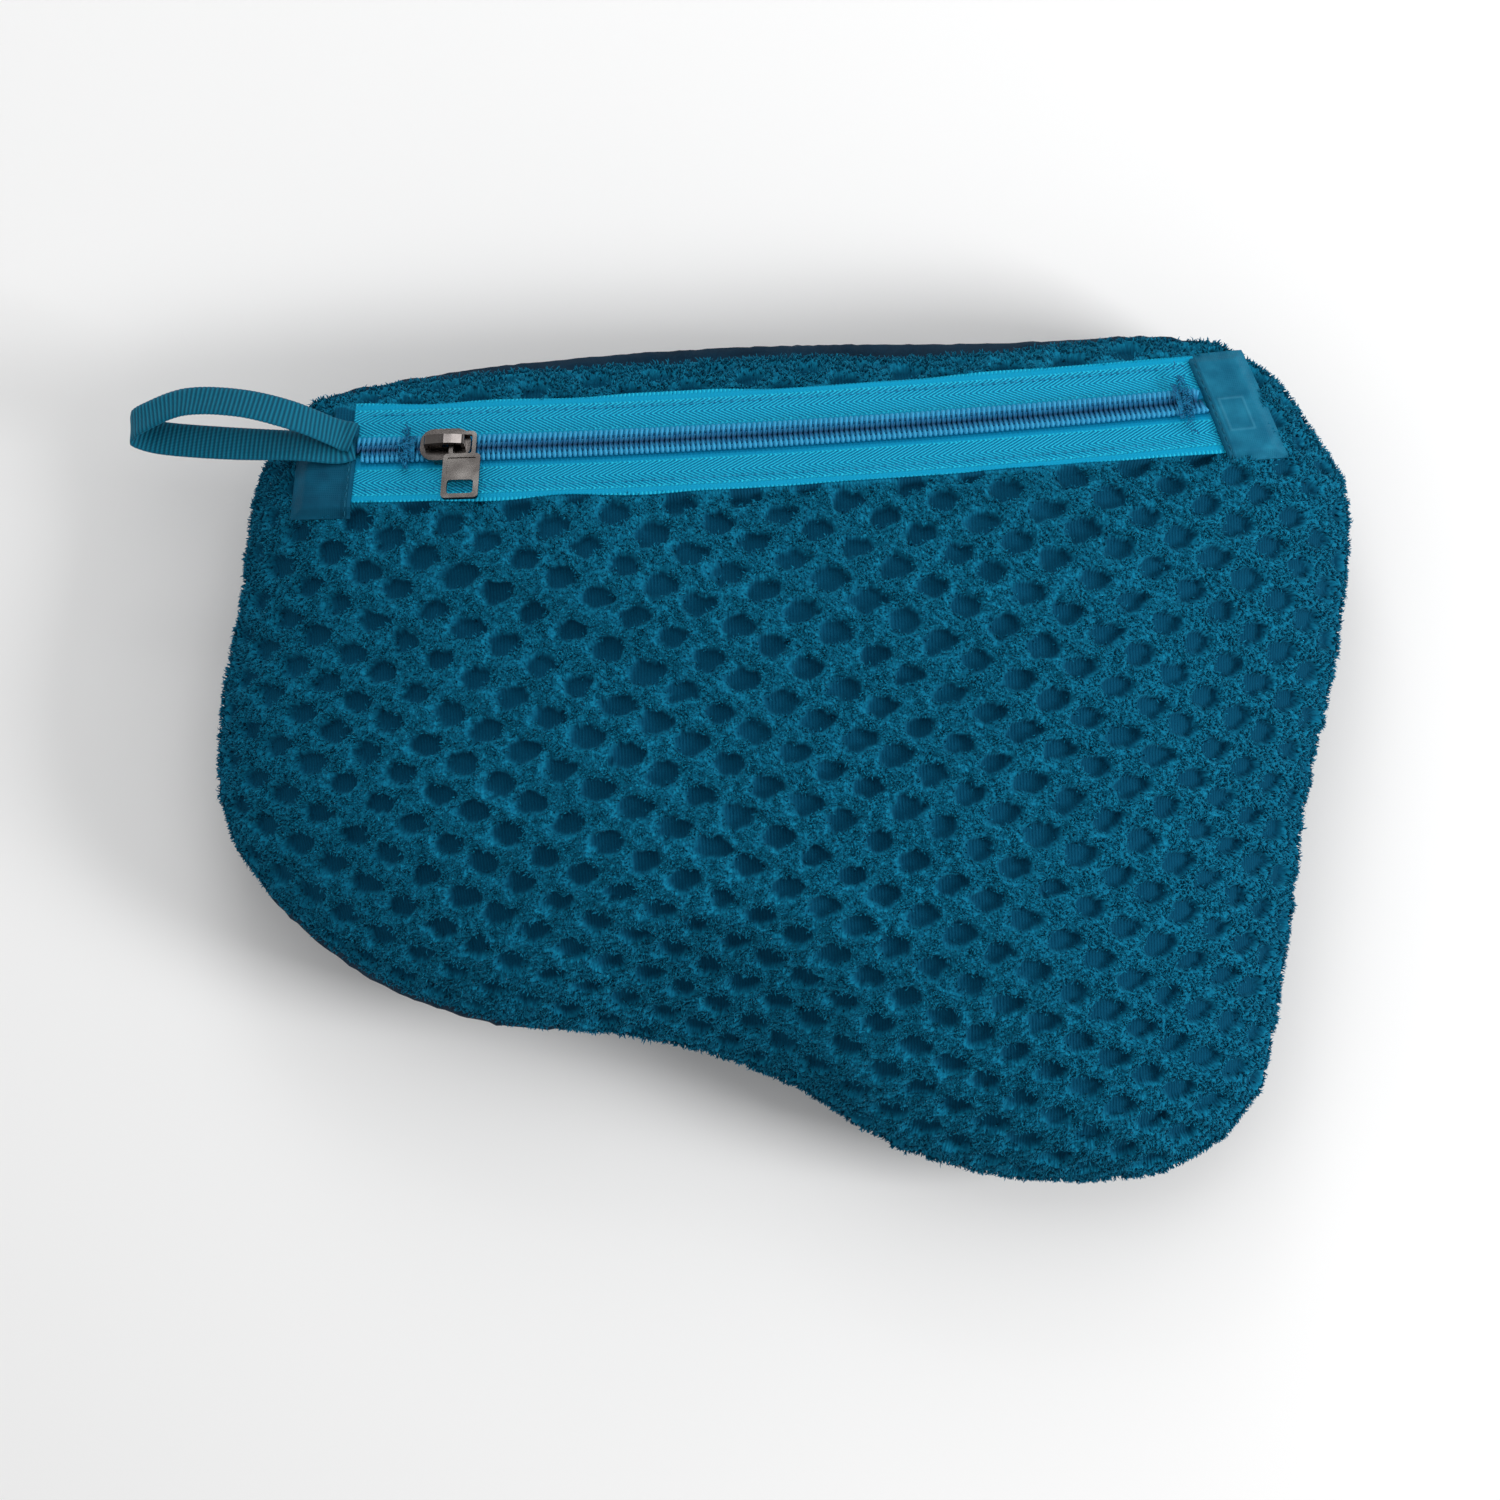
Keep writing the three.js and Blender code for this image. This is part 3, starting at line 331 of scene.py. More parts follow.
class Shade:
    """One node material. An input given as a socket is linked, and a number is set on it."""

    def __init__(self, name, gloss=None, **sockets):
        """gloss is the little mirror shine of cloth; left out, the shader keeps its own."""
        self.material = bpy.data.materials.new(name)
        self.material.use_nodes = True
        self.tree = self.material.node_tree
        self.inputs = self.tree.nodes["Principled BSDF"].inputs
        if gloss is not None:
            self.inputs["Specular IOR Level"].default_value = gloss
            self.inputs["Sheen Tint"].default_value = PILE_SHEEN
        for key, value in sockets.items():
            self.feed(self.inputs[key.replace("_", " ")], value)

    def feed(self, socket, value):
        if isinstance(value, bpy.types.NodeSocket):
            self.tree.links.new(value, socket)
        else:
            socket.default_value = value

    def add(self, kind, inputs, **settings):
        node = self.tree.nodes.new("ShaderNode" + kind)
        for key, value in settings.items():
            setattr(node, key, value)
        for key, value in inputs.items():
            self.feed(node.inputs[key], value)
        return node

    def math(self, operation, a, b=0.0):
        return self.add("Math", {0: a, 1: b}, operation=operation).outputs[0]

    def plus(self, a, b):
        return self.math("ADD", a, b)

    def times(self, a, b):
        return self.math("MULTIPLY", a, b)

    def place(self):
        """The three numbers of the place layer."""
        layer = self.add("Attribute", {}, attribute_name="place").outputs["Vector"]
        return tuple(self.add("SeparateXYZ", {0: layer}).outputs)

    def where(self):
        """Object coordinates in millimetres."""
        source = self.add("TexCoord", {}).outputs["Object"]
        return self.add("Mapping", {"Vector": source, "Scale": (1 / MM,) * 3}).outputs[0]

    def mix(self, factor, a, b):
        return self.add("Mix", {0: factor, 6: a, 7: b}, data_type="RGBA").outputs[2]

    def noise(self, vector, scale, detail):
        return self.add("TexNoise", {"Vector": vector, "Scale": scale, "Detail": detail}).outputs["Fac"]

    def flat_noise(self, x, y, scale, detail):
        return self.noise(self.add("CombineXYZ", {0: x, 1: y}).outputs[0], scale, detail)

    def span(self, value, low, high, to_low=0.0, to_high=1.0):
        """value taken from low..high to to_low..to_high, and held at the ends."""
        inputs = {0: value, 1: low, 2: high, 3: to_low, 4: to_high}
        return self.add("MapRange", inputs).outputs[0]

    def fade(self, value, low, high, a, b, most=1.0):
        """a at low, turning to b by high, or to a share of it."""
        return self.mix(self.span(value, low, high, 0.0, most), a, b)

    def wave(self, value, pitch):
        """0 to 1 and back over each pitch of value."""
        return self.span(self.math("SINE", self.times(value, math.tau / pitch)), -1.0, 1.0)

    def finished(self, colour, height=None, distance=0.0, strength=0.0):
        """The material, in a colour and with a bump of a height from 0 to 1, distance deep."""
        self.feed(self.inputs["Base Color"], colour)
        if height is not None:
            inputs = {"Height": height, "Distance": distance * MM, "Strength": strength}
            self.feed(self.inputs["Normal"], self.add("Bump", inputs).outputs[0])
        return self.material


# this darkest fleece colour is painted shade: pit floors, grooves between the knit ribs and the tufts' roots
FLEECE_PAINTED_SHADE = srgb(0, 63, 91)
FLEECE_MID = srgb(2, 88, 120)
FLEECE_LIGHT = srgb(16, 134, 170)
PILE_SHEEN = srgb(60, 190, 220)
WOVEN_DARK = srgb(6, 26, 42)
WOVEN_LIGHT = srgb(16, 52, 74)
TAPE_BLUE = srgb(1, 146, 188)
TAPE_SHADE = srgb(0, 118, 162)
# painted shade in the twill's hollows, then painted highlight on the raised weave
TAPE_PAINTED_SHADE = srgb(0, 98, 146)
TAPE_PAINTED_HIGHLIGHT = srgb(40, 194, 228)
COIL_BLUE = srgb(2, 92, 140)
# painted shade in the interlock, then a light colour for random tone and for painted highlight on the outer bends
COIL_PAINTED_SHADE = srgb(0, 60, 98)
COIL_LIGHT_TONE_AND_HIGHLIGHT = srgb(52, 160, 206)
TAB_RIDGE = srgb(70, 148, 176)
WEBBING_TEAL = srgb(4, 92, 120)
THREAD_TEAL = srgb(4, 72, 98)
GUNMETAL = srgb(92, 88, 87)


def fleece_material():
    """Knit floors in the pits, darker as painted shade, and lighter curled pile on the walls; place is u, v and
    the pile's height.
    """
    shade = Shade("fleece_pile", 0.12, Roughness=0.95, Sheen_Weight=0.12, Sheen_Roughness=0.5)
    u, v, pile = shade.place()
    patches = shade.flat_noise(u, v, 0.03, 2.0)
    curls = shade.flat_noise(u, v, 1.3, 4.0)
    ribs = shade.wave(u, KNIT_RIB)
    # painted shade: the pit floors and the grooves between the knit ribs are darker
    floor = shade.mix(shade.times(ribs, 0.5), FLEECE_PAINTED_SHADE, FLEECE_MID)
    walls = shade.fade(curls, 0.34, 0.68, FLEECE_MID, FLEECE_LIGHT)
    # painted shade in the pits: the lower the pile, the darker
    lit = shade.fade(pile, 0.2, 0.75, floor, walls)
    colour = shade.fade(patches, 0.3, 0.7, lit, FLEECE_MID, 0.3)
    return shade.finished(colour, shade.plus(shade.times(ribs, 0.35), curls), 0.5, 0.8)


def tuft_material():
    """Pile that is darker towards its root as painted shade; place is the way up the tuft and its own tone."""
    shade = Shade("fleece_tufts", 0.12, Roughness=0.95, Sheen_Weight=0.12, Sheen_Roughness=0.5)
    tip, tone, _ = shade.place()
    body = shade.fade(tone, 0.0, 1.0, FLEECE_MID, FLEECE_LIGHT)
    # painted shade: the tuft darkens towards its root
    return shade.finished(shade.fade(tip, 0.0, 0.8, FLEECE_PAINTED_SHADE, body))


def woven_material():
    """Plain weave of fine dark yarns; place is the way round the wall, the way down it and 1 on the wall."""
    shade = Shade("woven_shell", 0.03, Roughness=0.8)
    where = shade.where()
    x, y, _ = shade.add("SeparateXYZ", {0: where}).outputs
    around, down, wall = shade.place()
    under = shade.times(shade.wave(x, YARN), shade.wave(y, YARN))
    side = shade.times(shade.wave(around, YARN), shade.wave(down, YARN))
    weave = shade.mix(wall, under, side)
    slub = shade.noise(where, 0.05, 4.0)
    grain = shade.noise(where, 0.9, 3.0)
    tone = shade.plus(shade.times(weave, 0.2), shade.span(slub, 0.3, 0.7, 0.0, 0.5))
    tone = shade.plus(tone, shade.span(grain, 0.3, 0.7, 0.0, 0.35))
    height = shade.plus(shade.times(weave, 0.5), grain)
    return shade.finished(shade.mix(tone, WOVEN_DARK, WOVEN_LIGHT), height, 0.14, 0.6)


def tape_material():
    """Herringbone tape, lighter on its raised weave as painted highlight and darker in the twill's hollows as
    painted shade; place is s, distance from the chain and height.
    """
    shade = Shade("zip_tape_weave", 0.1, Roughness=0.6, Sheen_Weight=0.04)
    s, away, _ = shade.place()
    # chevrons: the slant turns round half way across the twill
    folded = shade.math("PINGPONG", shade.math("SUBTRACT", away, TWILL_START), TWILL_COLUMN)
    twill = shade.wave(shade.plus(s, shade.times(folded, TWILL_SLANT)), TWILL_PITCH)
    twill_end = TWILL_START + 2 * TWILL_COLUMN
    in_twill = shade.times(shade.span(away, TWILL_START - 0.1, TWILL_START + 0.1),
                           shade.span(away, twill_end + 0.1, twill_end - 0.1))
    rows = [shade.span(shade.math("ABSOLUTE", shade.math("SUBTRACT", away, row)), 0.5, 0.1)
            for row in (TWILL_START, twill_end)]
    beads = shade.wave(s, BEAD_PITCH)
    selvedge = shade.span(away, tape_outer - 0.8, tape_outer - 0.3)
    plain = shade.times(shade.wave(s, 0.95), shade.wave(away, YARN))
    height = shade.plus(shade.times(twill, in_twill), shade.times(plain, 0.25))
    dotted = shade.plus(shade.times(shade.math("MAXIMUM", *rows), beads), shade.times(selvedge, beads))
    height = shade.plus(height, dotted)
    base = shade.fade(away, 3.4, TWILL_START, TAPE_SHADE, TAPE_BLUE)
    # painted highlight on the raised weave
    lit = shade.fade(height, 0.45, 1.15, base, TAPE_PAINTED_HIGHLIGHT, 0.9)
    # painted shade in the twill's hollows
    painted_hollow_shade = shade.times(shade.span(height, 0.1, 0.55, 0.9, 0.0), in_twill)
    return shade.finished(shade.mix(painted_hollow_shade, lit, TAPE_PAINTED_SHADE), height, 0.25, 1.0)


def thread_material(name, colour, light, roughness=0.6, scale=2.0):
    """Twisted yarn or filament, with a little change of tone along it."""
    shade = Shade(name, 0.2, Roughness=roughness)
    tone = shade.noise(shade.where(), scale, 2.0)
    return shade.finished(shade.fade(tone, 0.35, 0.65, colour, light), tone, 0.08, 0.5)


def coil_material():
    """Nylon filament, darker in the interlock as painted shade and lighter on its outer bends as painted
    highlight; place holds the distance across.
    """
    shade = Shade("coil_nylon", 0.25, Roughness=0.42)
    _, away, _ = shade.place()
    tone = shade.noise(shade.where(), 0.35, 2.0)
    body = shade.fade(tone, 0.3, 0.7, COIL_BLUE, COIL_LIGHT_TONE_AND_HIGHLIGHT, 0.4)
    # painted shade in the chain's interlock
    deep = shade.fade(away, 0.2, 1.5, COIL_PAINTED_SHADE, body)
    # painted highlight on the outer bends
    colour = shade.fade(away, 1.6, 2.7, deep, COIL_LIGHT_TONE_AND_HIGHLIGHT, 0.7)
    return shade.finished(colour, shade.noise(shade.where(), 6.0, 2.0), 0.02, 0.4)


def webbing_material():
    """Grosgrain: ribs across the strap, lighter on their crests and darker between them as painted light and
    shade; place is the way along, across and the side.
    """
    shade = Shade("grosgrain", 0.12, Roughness=0.6, Sheen_Weight=0.03)
    along, wide, _ = shade.place()
    rib = shade.wave(along, WEBBING_RIB)
    edge = shade.span(shade.math("ABSOLUTE", wide), 4.2, 4.8)
    # painted light and shade: lighter on the ribs' crests, darker between them
    lit = shade.mix(rib, srgb(0, 68, 92), srgb(12, 112, 140))
    height = shade.plus(rib, shade.times(shade.wave(wide, 0.45), 0.25))
    return shade.finished(shade.mix(shade.times(edge, 0.5), lit, WEBBING_TEAL), height, 0.3, 0.8)


def tab_material(name, base, light):
    """Plain weave of the end tabs; place is along, across, and -1 on the hem to 1 on a stitched ridge."""
    shade = Shade(name, 0.1, Roughness=0.7, Sheen_Weight=0.04)
    along, wide, mark = shade.place()
    weave = shade.times(shade.wave(along, 0.6), shade.wave(wide, 0.6))
    tone = shade.flat_noise(along, wide, 0.16, 4.0)
    cloth = shade.fade(tone, 0.3, 0.75, base, light)
    hemmed = shade.fade(mark, -0.1, -0.9, cloth, THREAD_TEAL, 0.45)
    colour = shade.fade(mark, 0.2, 1.0, hemmed, TAB_RIDGE, 0.3)
    return shade.finished(colour, shade.plus(weave, shade.times(tone, 0.6)), 0.12, 0.6)


def metal_material(name, base, worn, roughness):
    """Plated dark metal, with soft clouds of wear and a fine grain."""
    shade = Shade(name, Metallic=1.0)
    cloud = shade.noise(shade.where(), 0.12, 2.0)
    grain = shade.noise(shade.where(), 2.5, 2.0)
    shade.feed(shade.inputs["Roughness"], shade.span(grain, 0.3, 0.7, roughness - 0.04, roughness + 0.05))
    return shade.finished(shade.fade(cloud, 0.35, 0.65, base, worn, 0.4))


FLEECE = fleece_material()
TUFT = tuft_material()
WOVEN = woven_material()
TAPE = tape_material()
COIL = coil_material()
THREAD = thread_material("sewing_thread", THREAD_TEAL, srgb(20, 104, 132))
BRIGHT_THREAD = thread_material("tape_thread", srgb(6, 116, 156), srgb(40, 160, 200))
WEBBING = webbing_material()
TAB_FAR = tab_material("tab_cloth", srgb(8, 88, 118), srgb(28, 116, 146))
TAB_LOOP = tab_material("tab_cloth_dark", srgb(2, 66, 92), srgb(8, 84, 112))
TACK_THREAD = thread_material("tack_thread", srgb(0, 66, 104), srgb(14, 122, 166))
# the core cord is dark as painted shade inside the chain
CORE = thread_material("core_cord", srgb(0, 62, 96), srgb(2, 88, 126), 0.8)
FILLING = thread_material("blanket_fleece", srgb(1, 60, 84), srgb(10, 98, 126), 0.95, 0.5)
METAL = metal_material("gunmetal", GUNMETAL, srgb(150, 144, 140), 0.17)
PULL_METAL = metal_material("gunmetal_pull", srgb(94, 90, 88), srgb(176, 172, 168), 0.26)
SPRING = metal_material("spring_steel", srgb(150, 150, 148), srgb(200, 200, 198), 0.3)


# ---- camera, floor and lights

CAMERA_LENS = 120.0
SENSOR = 36.0
FRAME_WIDTH = 441.0  # what the camera takes in at the height it is aimed at
AIM = np.array([-2.8, 7.0, 60.0])
CAMERA_TURN = math.atan2(-0.05931, 0.99824)
FLOOR_HALF = 4000.0
FLOOR_HEIGHT = -0.4
LAMP_AIM = Vector((0, 0, 0.04))
# name, place in metres, size and power; the streak shows in the slider's plates
LAMPS = [
    ("key", (1.15, -0.3, 0.85), 0.45, 13.0),
    ("top", (0.1, 0.8, 1.4), 1.2, 7.0),
    ("fill", (-1.2, 0.1, 1.2), 1.4, 2.5),
    ("streak", (-0.06, 1.0, 0.72), 0.4, 2.0),
]
SURROUND = 0.42  # strength of the white surroundings


def make_camera():
    camera = linked("camera", bpy.data.cameras.new("camera"))
    camera.data.lens = CAMERA_LENS
    camera.data.sensor_width = SENSOR
    camera.data.clip_start = 0.01
    distance = FRAME_WIDTH * CAMERA_LENS / SENSOR
    place = Matrix.Translation(Vector((AIM + [0, 0, distance]) * MM))
    camera.matrix_world = place @ Matrix.Rotation(CAMERA_TURN, 4, "Z")
    scene.camera = camera


def make_stage():
    """A pale floor, soft lamps and white surroundings."""
    points = np.array([[-1, -1, 0], [1, -1, 0], [1, 1, 0], [-1, 1, 0]]) * FLOOR_HALF + [0, 0, FLOOR_HEIGHT]
    floor = mesh_object("floor", points, [np.array([[0, 1, 2, 3]])])
    shade = Shade("floor_paper", Roughness=0.9)
    tone = shade.noise(shade.where(), 0.002, 3.0)
    floor.data.materials.append(shade.finished(shade.mix(tone, (0.86, 0.86, 0.86, 1), (0.9, 0.9, 0.9, 1))))
    for name, place, size, power in LAMPS:
        lamp = bpy.data.lights.new(name, "AREA")
        lamp.shape, lamp.size, lamp.energy = "SQUARE", size, power
        obj = linked(name, lamp)
        obj.location = place
        obj.rotation_euler = (LAMP_AIM - Vector(place)).to_track_quat("-Z", "Y").to_euler()
    world = bpy.data.worlds.new("studio")
    scene.world = world
    world.use_nodes = True
    world.node_tree.nodes["Background"].inputs[0].default_value = (1, 1, 1, 1)
    world.node_tree.nodes["Background"].inputs[1].default_value = SURROUND
    scene.view_settings.view_transform = "Standard"


# ---- the stuffed pouch

SKIN_NODES = ["front_panel", "back_panel", "zip_tape_upper", "zip_tape_lower"]
crown = np.array(frame["record"]["mounts"][0]["pos_m"][:2]) / MM
centre = np.array([crown[0], crown[1], EQUATOR_HEIGHT])


def tree_of(nodes):
    """A search tree over the faces of some CAD nodes."""
    points, faces = [], []
    for node in nodes:
        mesh = frame["nodes"][node].data
        start = len(points)
        points.extend(v.co for v in mesh.vertices)
        faces.extend([start + k for k in p.vertices] for p in mesh.polygons)
    return BVHTree.FromPolygons(points, faces)


def directions(columns, rows):
    """Unit vectors from straight up (row 0) to straight down, for each direction round the crown."""
    turn = np.arange(columns)[:, None] * math.tau / columns
    rise = math.pi / 2 - np.linspace(0, math.pi, rows)[None, :]
    level = np.cos(rise)
    return np.stack([level * np.cos(turn), level * np.sin(turn), np.sin(rise) + 0 * turn], -1)


def shrink_wrapped(tree, columns, rows):
    """The outermost points of a shape round the pouch's centre, as columns x rows."""
    rays = directions(columns, rows)
    distance = np.full((columns, rows), np.nan)
    middle = Vector(centre * MM)
    for i, j in np.ndindex(columns, rows):
        ray = Vector(rays[i, j])
        hit = tree.ray_cast(middle + ray * RAY_START, -ray)[0]
        if hit:
            distance[i, j] = (hit - middle).length / MM
    holes = np.isnan(distance)
    known = np.flatnonzero(~holes.ravel())
    distance[holes] = np.interp(np.flatnonzero(holes.ravel()), known, distance[~holes])
    # a ray can slip in through the gap at the seam
    inner = distance[:, 1:-1]
    beside = (distance[:, :-2] + distance[:, 2:]) / 2
    slipped = inner < beside - SLIPPED_RAY
    inner[slipped] = beside[slipped]
    return distance, rays


def smoothed(distance, times):
    """A columns x rows field with its small unevenness taken out."""
    for _ in range(times):
        across_columns = (np.roll(distance, 1, 0) + np.roll(distance, -1, 0)) / 2
        padded = np.pad(distance, ((0, 0), (1, 1)), mode="edge")
        along_rows = (padded[:, :-2] + padded[:, 2:]) / 2
        distance = distance * 0.5 + across_columns * 0.25 + along_rows * 0.25
    return distance


def seam_height(columns):
    """The height of the seam between the face and the back in each direction, from its thread."""
    v = vertices("seam_thread")
    turn = np.arctan2(v[:, 1] - centre[1], v[:, 0] - centre[0]) % math.tau
    place = np.round(turn / math.tau * SEAM_BINS).astype(int) % SEAM_BINS
    count = np.bincount(place, minlength=SEAM_BINS)
    total = np.bincount(place, v[:, 2], minlength=SEAM_BINS)
    known = np.flatnonzero(count)
    at = np.arange(columns) * SEAM_BINS / columns
    height = np.interp(at, known, total[known] / count[known], period=SEAM_BINS)
    for _ in range(SEAM_SMOOTHING):
        height = (np.roll(height, 1) + 2 * height + np.roll(height, -1)) / 4
    return height + SEAM_ABOVE_THREAD


def simulated_pouch():
    """The pouch's skin blown out by its filling: cloth pressure, pinned at the zip and where it lies."""
    distance, rays = shrink_wrapped(tree_of(SKIN_NODES), *SIM_GRID)
    lumps = noise(rays[..., 0] * 3.1 + 9, rays[..., 1] * 3.1 + rays[..., 2] * 2, 1)
    start = centre + rays * (distance - SIM_SHRINK + SIM_LUMPS * lumps)[..., None]
    obj = mesh_object("pouch_sim", *round_shell(start))
    bpy.context.view_layer.objects.active = obj
    obj.select_set(True)
    obj.data.remesh_voxel_size = SIM_VOXEL * MM
    bpy.ops.object.voxel_remesh()
    rest = np.array([v.co for v in obj.data.vertices]) / MM
    s, t, h = band_coordinates(rest)
    in_band = (np.abs(t) < tape_outer + 4) & (s > chain_start - 12) & (s < chain_end + 12) & (h > -12)
    lies = rest[:, 2] < 4
    group = obj.vertex_groups.new(name="held")
    for index in np.flatnonzero(in_band | lies):
        group.add([int(index)], 1.0, "REPLACE")
    cloth = obj.modifiers.new("cloth", "CLOTH")
    cloth.settings.vertex_group_mass = "held"
    cloth.settings.use_pressure = True
    cloth.settings.uniform_pressure_force = SIM_PRESSURE
    cloth.settings.effector_weights.gravity = 0.0
    cloth.settings.quality = 5
    cloth.settings.bending_stiffness = 2.0
    cloth.point_cache.frame_end = SIM_FRAMES
    for number in range(1, SIM_FRAMES + 1):
        scene.frame_set(number)
    evaluated = obj.evaluated_get(bpy.context.evaluated_depsgraph_get())
    step = np.array([v.co for v in evaluated.data.vertices]) / MM - rest
    scene.frame_set(1)
    length = np.linalg.norm(step, axis=1, keepdims=True)
    step *= np.minimum(1, SIM_CAP / np.maximum(length, 1e-6))
    faces = [list(p.vertices) for p in obj.data.polygons]
    tree = BVHTree.FromPolygons([Vector(p) for p in (rest + step) * MM], faces)
    bpy.data.objects.remove(obj)
    return tree


def to_base_grid(field):
    """A field at half the base grid's fineness, brought to all of it."""
    rows = np.linspace(0, BASE_ROWS // 2 - 1, BASE_ROWS)
    low = np.floor(rows).astype(int).clip(0, BASE_ROWS // 2 - 2)
    part = rows - low
    tall = field[:, low] * (1 - part) + field[:, low + 1] * part
    wide = np.repeat(tall, 2, axis=0)
    wide[1::2] = (wide[::2] + np.roll(wide[::2], -1, 0)) / 2
    return wide


def pouch_surface():
    """The smooth pouch: its points as directions x steps from the crown over the girth to the back,
    the way along the skin to each of them, and the way to the seam in each direction.
    """
    distance, rays = shrink_wrapped(tree_of(SKIN_NODES), BASE_COLUMNS, BASE_ROWS)
    blown, _ = shrink_wrapped(simulated_pouch(), BASE_COLUMNS // 2, BASE_ROWS // 2)
    # the girth keeps the frame's outline; the filling swells what lies between
    rise = np.abs(math.pi / 2 - np.linspace(0, math.pi, BASE_ROWS))
    swell = smoothed(to_base_grid(blown), 3) - distance
    distance = distance + swell * smoothstep(0.1, 0.5, rise)[None, :]
    # smooth, but never far inside the frame's skin, which would bare the seam's binding
    distance = np.maximum(smoothed(distance, 6), smoothed(distance, 1) - SKIN_SLACK)
    points = centre + rays * distance[..., None]
    points[..., 2] = np.maximum(points[..., 2], 0.0)
    steps = np.linalg.norm(np.diff(points, axis=1), axis=2)
    way = np.concatenate([np.zeros((BASE_COLUMNS, 1)), np.cumsum(steps, axis=1)], axis=1)
    seam = seam_height(BASE_COLUMNS)
    falling = np.minimum.accumulate(points[..., 2], axis=1)
    to_seam = np.array([np.interp(-seam[i], -falling[i], way[i]) for i in range(BASE_COLUMNS)])
    return points, way, to_seam


surface_points, surface_way, seam_way = pouch_surface()
way_step = surface_way[:, -1].min() / (EVEN_ROWS - 1)
way_end = way_step * (EVEN_ROWS - 1)
even_points = np.array([
    np.stack([np.interp(np.arange(EVEN_ROWS) * way_step, way, axis) for axis in column.T], -1)
    for way, column in zip(surface_way, surface_points)
])


def on_pouch(turn, way):
    """Points on the smooth pouch, at a direction round the crown and a way along the skin."""
    column = (turn % math.tau) / math.tau * BASE_COLUMNS
    left = np.floor(column).astype(int)
    row = np.clip(way, 0, way_step * (EVEN_ROWS - 1.001)) / way_step
    low = np.floor(row).astype(int)
    beside, past = (column - np.floor(column))[..., None], (row - low)[..., None]

    def along(k):
        column = k % BASE_COLUMNS
        return even_points[column, low] * (1 - past) + even_points[column, low + 1] * past

    return along(left) * (1 - beside) + along(left + 1) * beside


def seam_at(turn):
    """The way from the crown to the seam in a direction."""
    at = np.arange(BASE_COLUMNS + 1) * math.tau / BASE_COLUMNS
    return np.interp(turn % math.tau, at, np.append(seam_way, seam_way[0]))


def pit_field(u, v):
    """How deep in a pit each place is, from 0 on the pile to 1 on the floor."""
    shape = u.shape
    u, v = u.ravel(), v.ravel()
    lattice = np.stack([PIT_RIGHT, PIT_UP], axis=1)
    wobble = [PIT_WOBBLE * noise(u / 34, v / 34, k) for k in (2, 3)]
    u, v = u + wobble[0], v + wobble[1]
    i, j = np.floor(np.linalg.inv(lattice) @ np.stack([u, v]))
    ragged = 0.16 * noise(u / 1.5, v / 1.5, 15)
    ragged = ragged + 0.14 * noise(u / 3.4, v / 3.4, 16)
    nearest = np.ones(u.size)
    for a, b in ((0, 0), (0, 1), (1, 0), (1, 1)):
        ci, cj = i + a, j + b
        size = 1 + 0.12 * noise(ci * 0.73 + 31, cj * 0.91 + 17, 4)
        shift = 0.5 * noise(ci * 1.31 + 5, cj * 1.17 + 3, 5)
        x = u - (ci * lattice[0, 0] + cj * lattice[0, 1]) - shift
        y = v - (ci * lattice[1, 0] + cj * lattice[1, 1]) + shift
        # the right end is pointed: the pit narrows towards it
        narrow = 1 - 0.22 * np.clip(x / PIT_HALF_LENGTH, -0.4, 1)
        rim = np.hypot(x / (PIT_HALF_LENGTH * size), y / (PIT_HALF_WIDTH * size * narrow)) + ragged
        # steep on the right, gentle on the left
        steep = 0.5 + 0.5 * np.clip(x / PIT_HALF_LENGTH, -1, 1)
        deep = 1 - (rim - (0.42 + 0.36 * steep)) / (0.78 - 0.46 * steep)
        nearest = np.minimum(nearest, 1 - np.clip(deep, 0, 1))
    return smoothstep(0, 1, 1 - nearest).reshape(shape)


def band_cover(points):
    """1 under the zip's tapes and end tabs, 0 away from them."""
    s, t, h = band_coordinates(points)
    start, end = chain_start - BAND_REACH, chain_end + BAND_REACH
    sideways = 1 - smoothstep(tape_outer - 0.4, tape_outer + 1.1, np.abs(t))
    return sideways * smoothstep(start, start + 2, s) * (1 - smoothstep(end - 2, end, s)) * (h > -15)


def make_face():
    """The honeycomb fleece: a fine skin from the crown out to the seam.

    Returns its points, their normals and each one's chance of a tuft.
    """
    reach = seam_way.max() + 3
    u, v = np.meshgrid(*[np.arange(-reach, reach, FLEECE_STEP)] * 2)
    turn, way = np.arctan2(v, u), np.hypot(u, v)
    seam = seam_at(turn)
    inside = way <= seam
    base = on_pouch(turn, way)
    normal = unit(np.cross(np.gradient(base, axis=1), np.gradient(base, axis=0)) + 1e-9)
    depth = pit_field(u, v) * smoothstep(1.5, 5, seam - way)
    pile = 1 - depth
    covered = band_cover(base)
    free = smoothstep(0, 5, seam - way) * (1 - covered)
    curl = noise(u / 2.1, v / 2.1, 6) + 0.8 * noise(u / 1.1, v / 1.1, 7)
    swell = noise(u / 23, v / 19, 8)
    lift = (pile * (PILE_HEIGHT + CLUMP_HEIGHT * curl) - PIT_DEPTH * depth + swell) * free
    # under the band the skin lies flat, and past the seam it is tucked in
    s, t, _ = band_coordinates(base)
    laid = base + (band_point(s, t, tape_base + 0.1) - base) * covered[..., None]
    edge = on_pouch(turn, np.minimum(way, seam))
    points = np.where(inside[..., None], laid, edge) + normal * np.where(inside, lift, -0.5)[..., None]
    for k in (0, 1):
        points[..., k] += 0.25 * pile * free * noise(u / 1.1, v / 1.1, 9 + k)
    faces = grid_faces(*u.shape)
    used, kept = np.unique(faces[inside.ravel()[faces].any(axis=1)], return_inverse=True)
    place = np.stack([u, v, np.where(inside, pile, 1.0)], -1).reshape(-1, 3)[used]
    face = mesh_object("pouch_face", points.reshape(-1, 3)[used], [kept.reshape(-1, 4)], place)
    finish(face, FLEECE, ["front_panel"])
    return points, normal, np.where(inside, pile ** 1.5 * (1 - covered), 0)


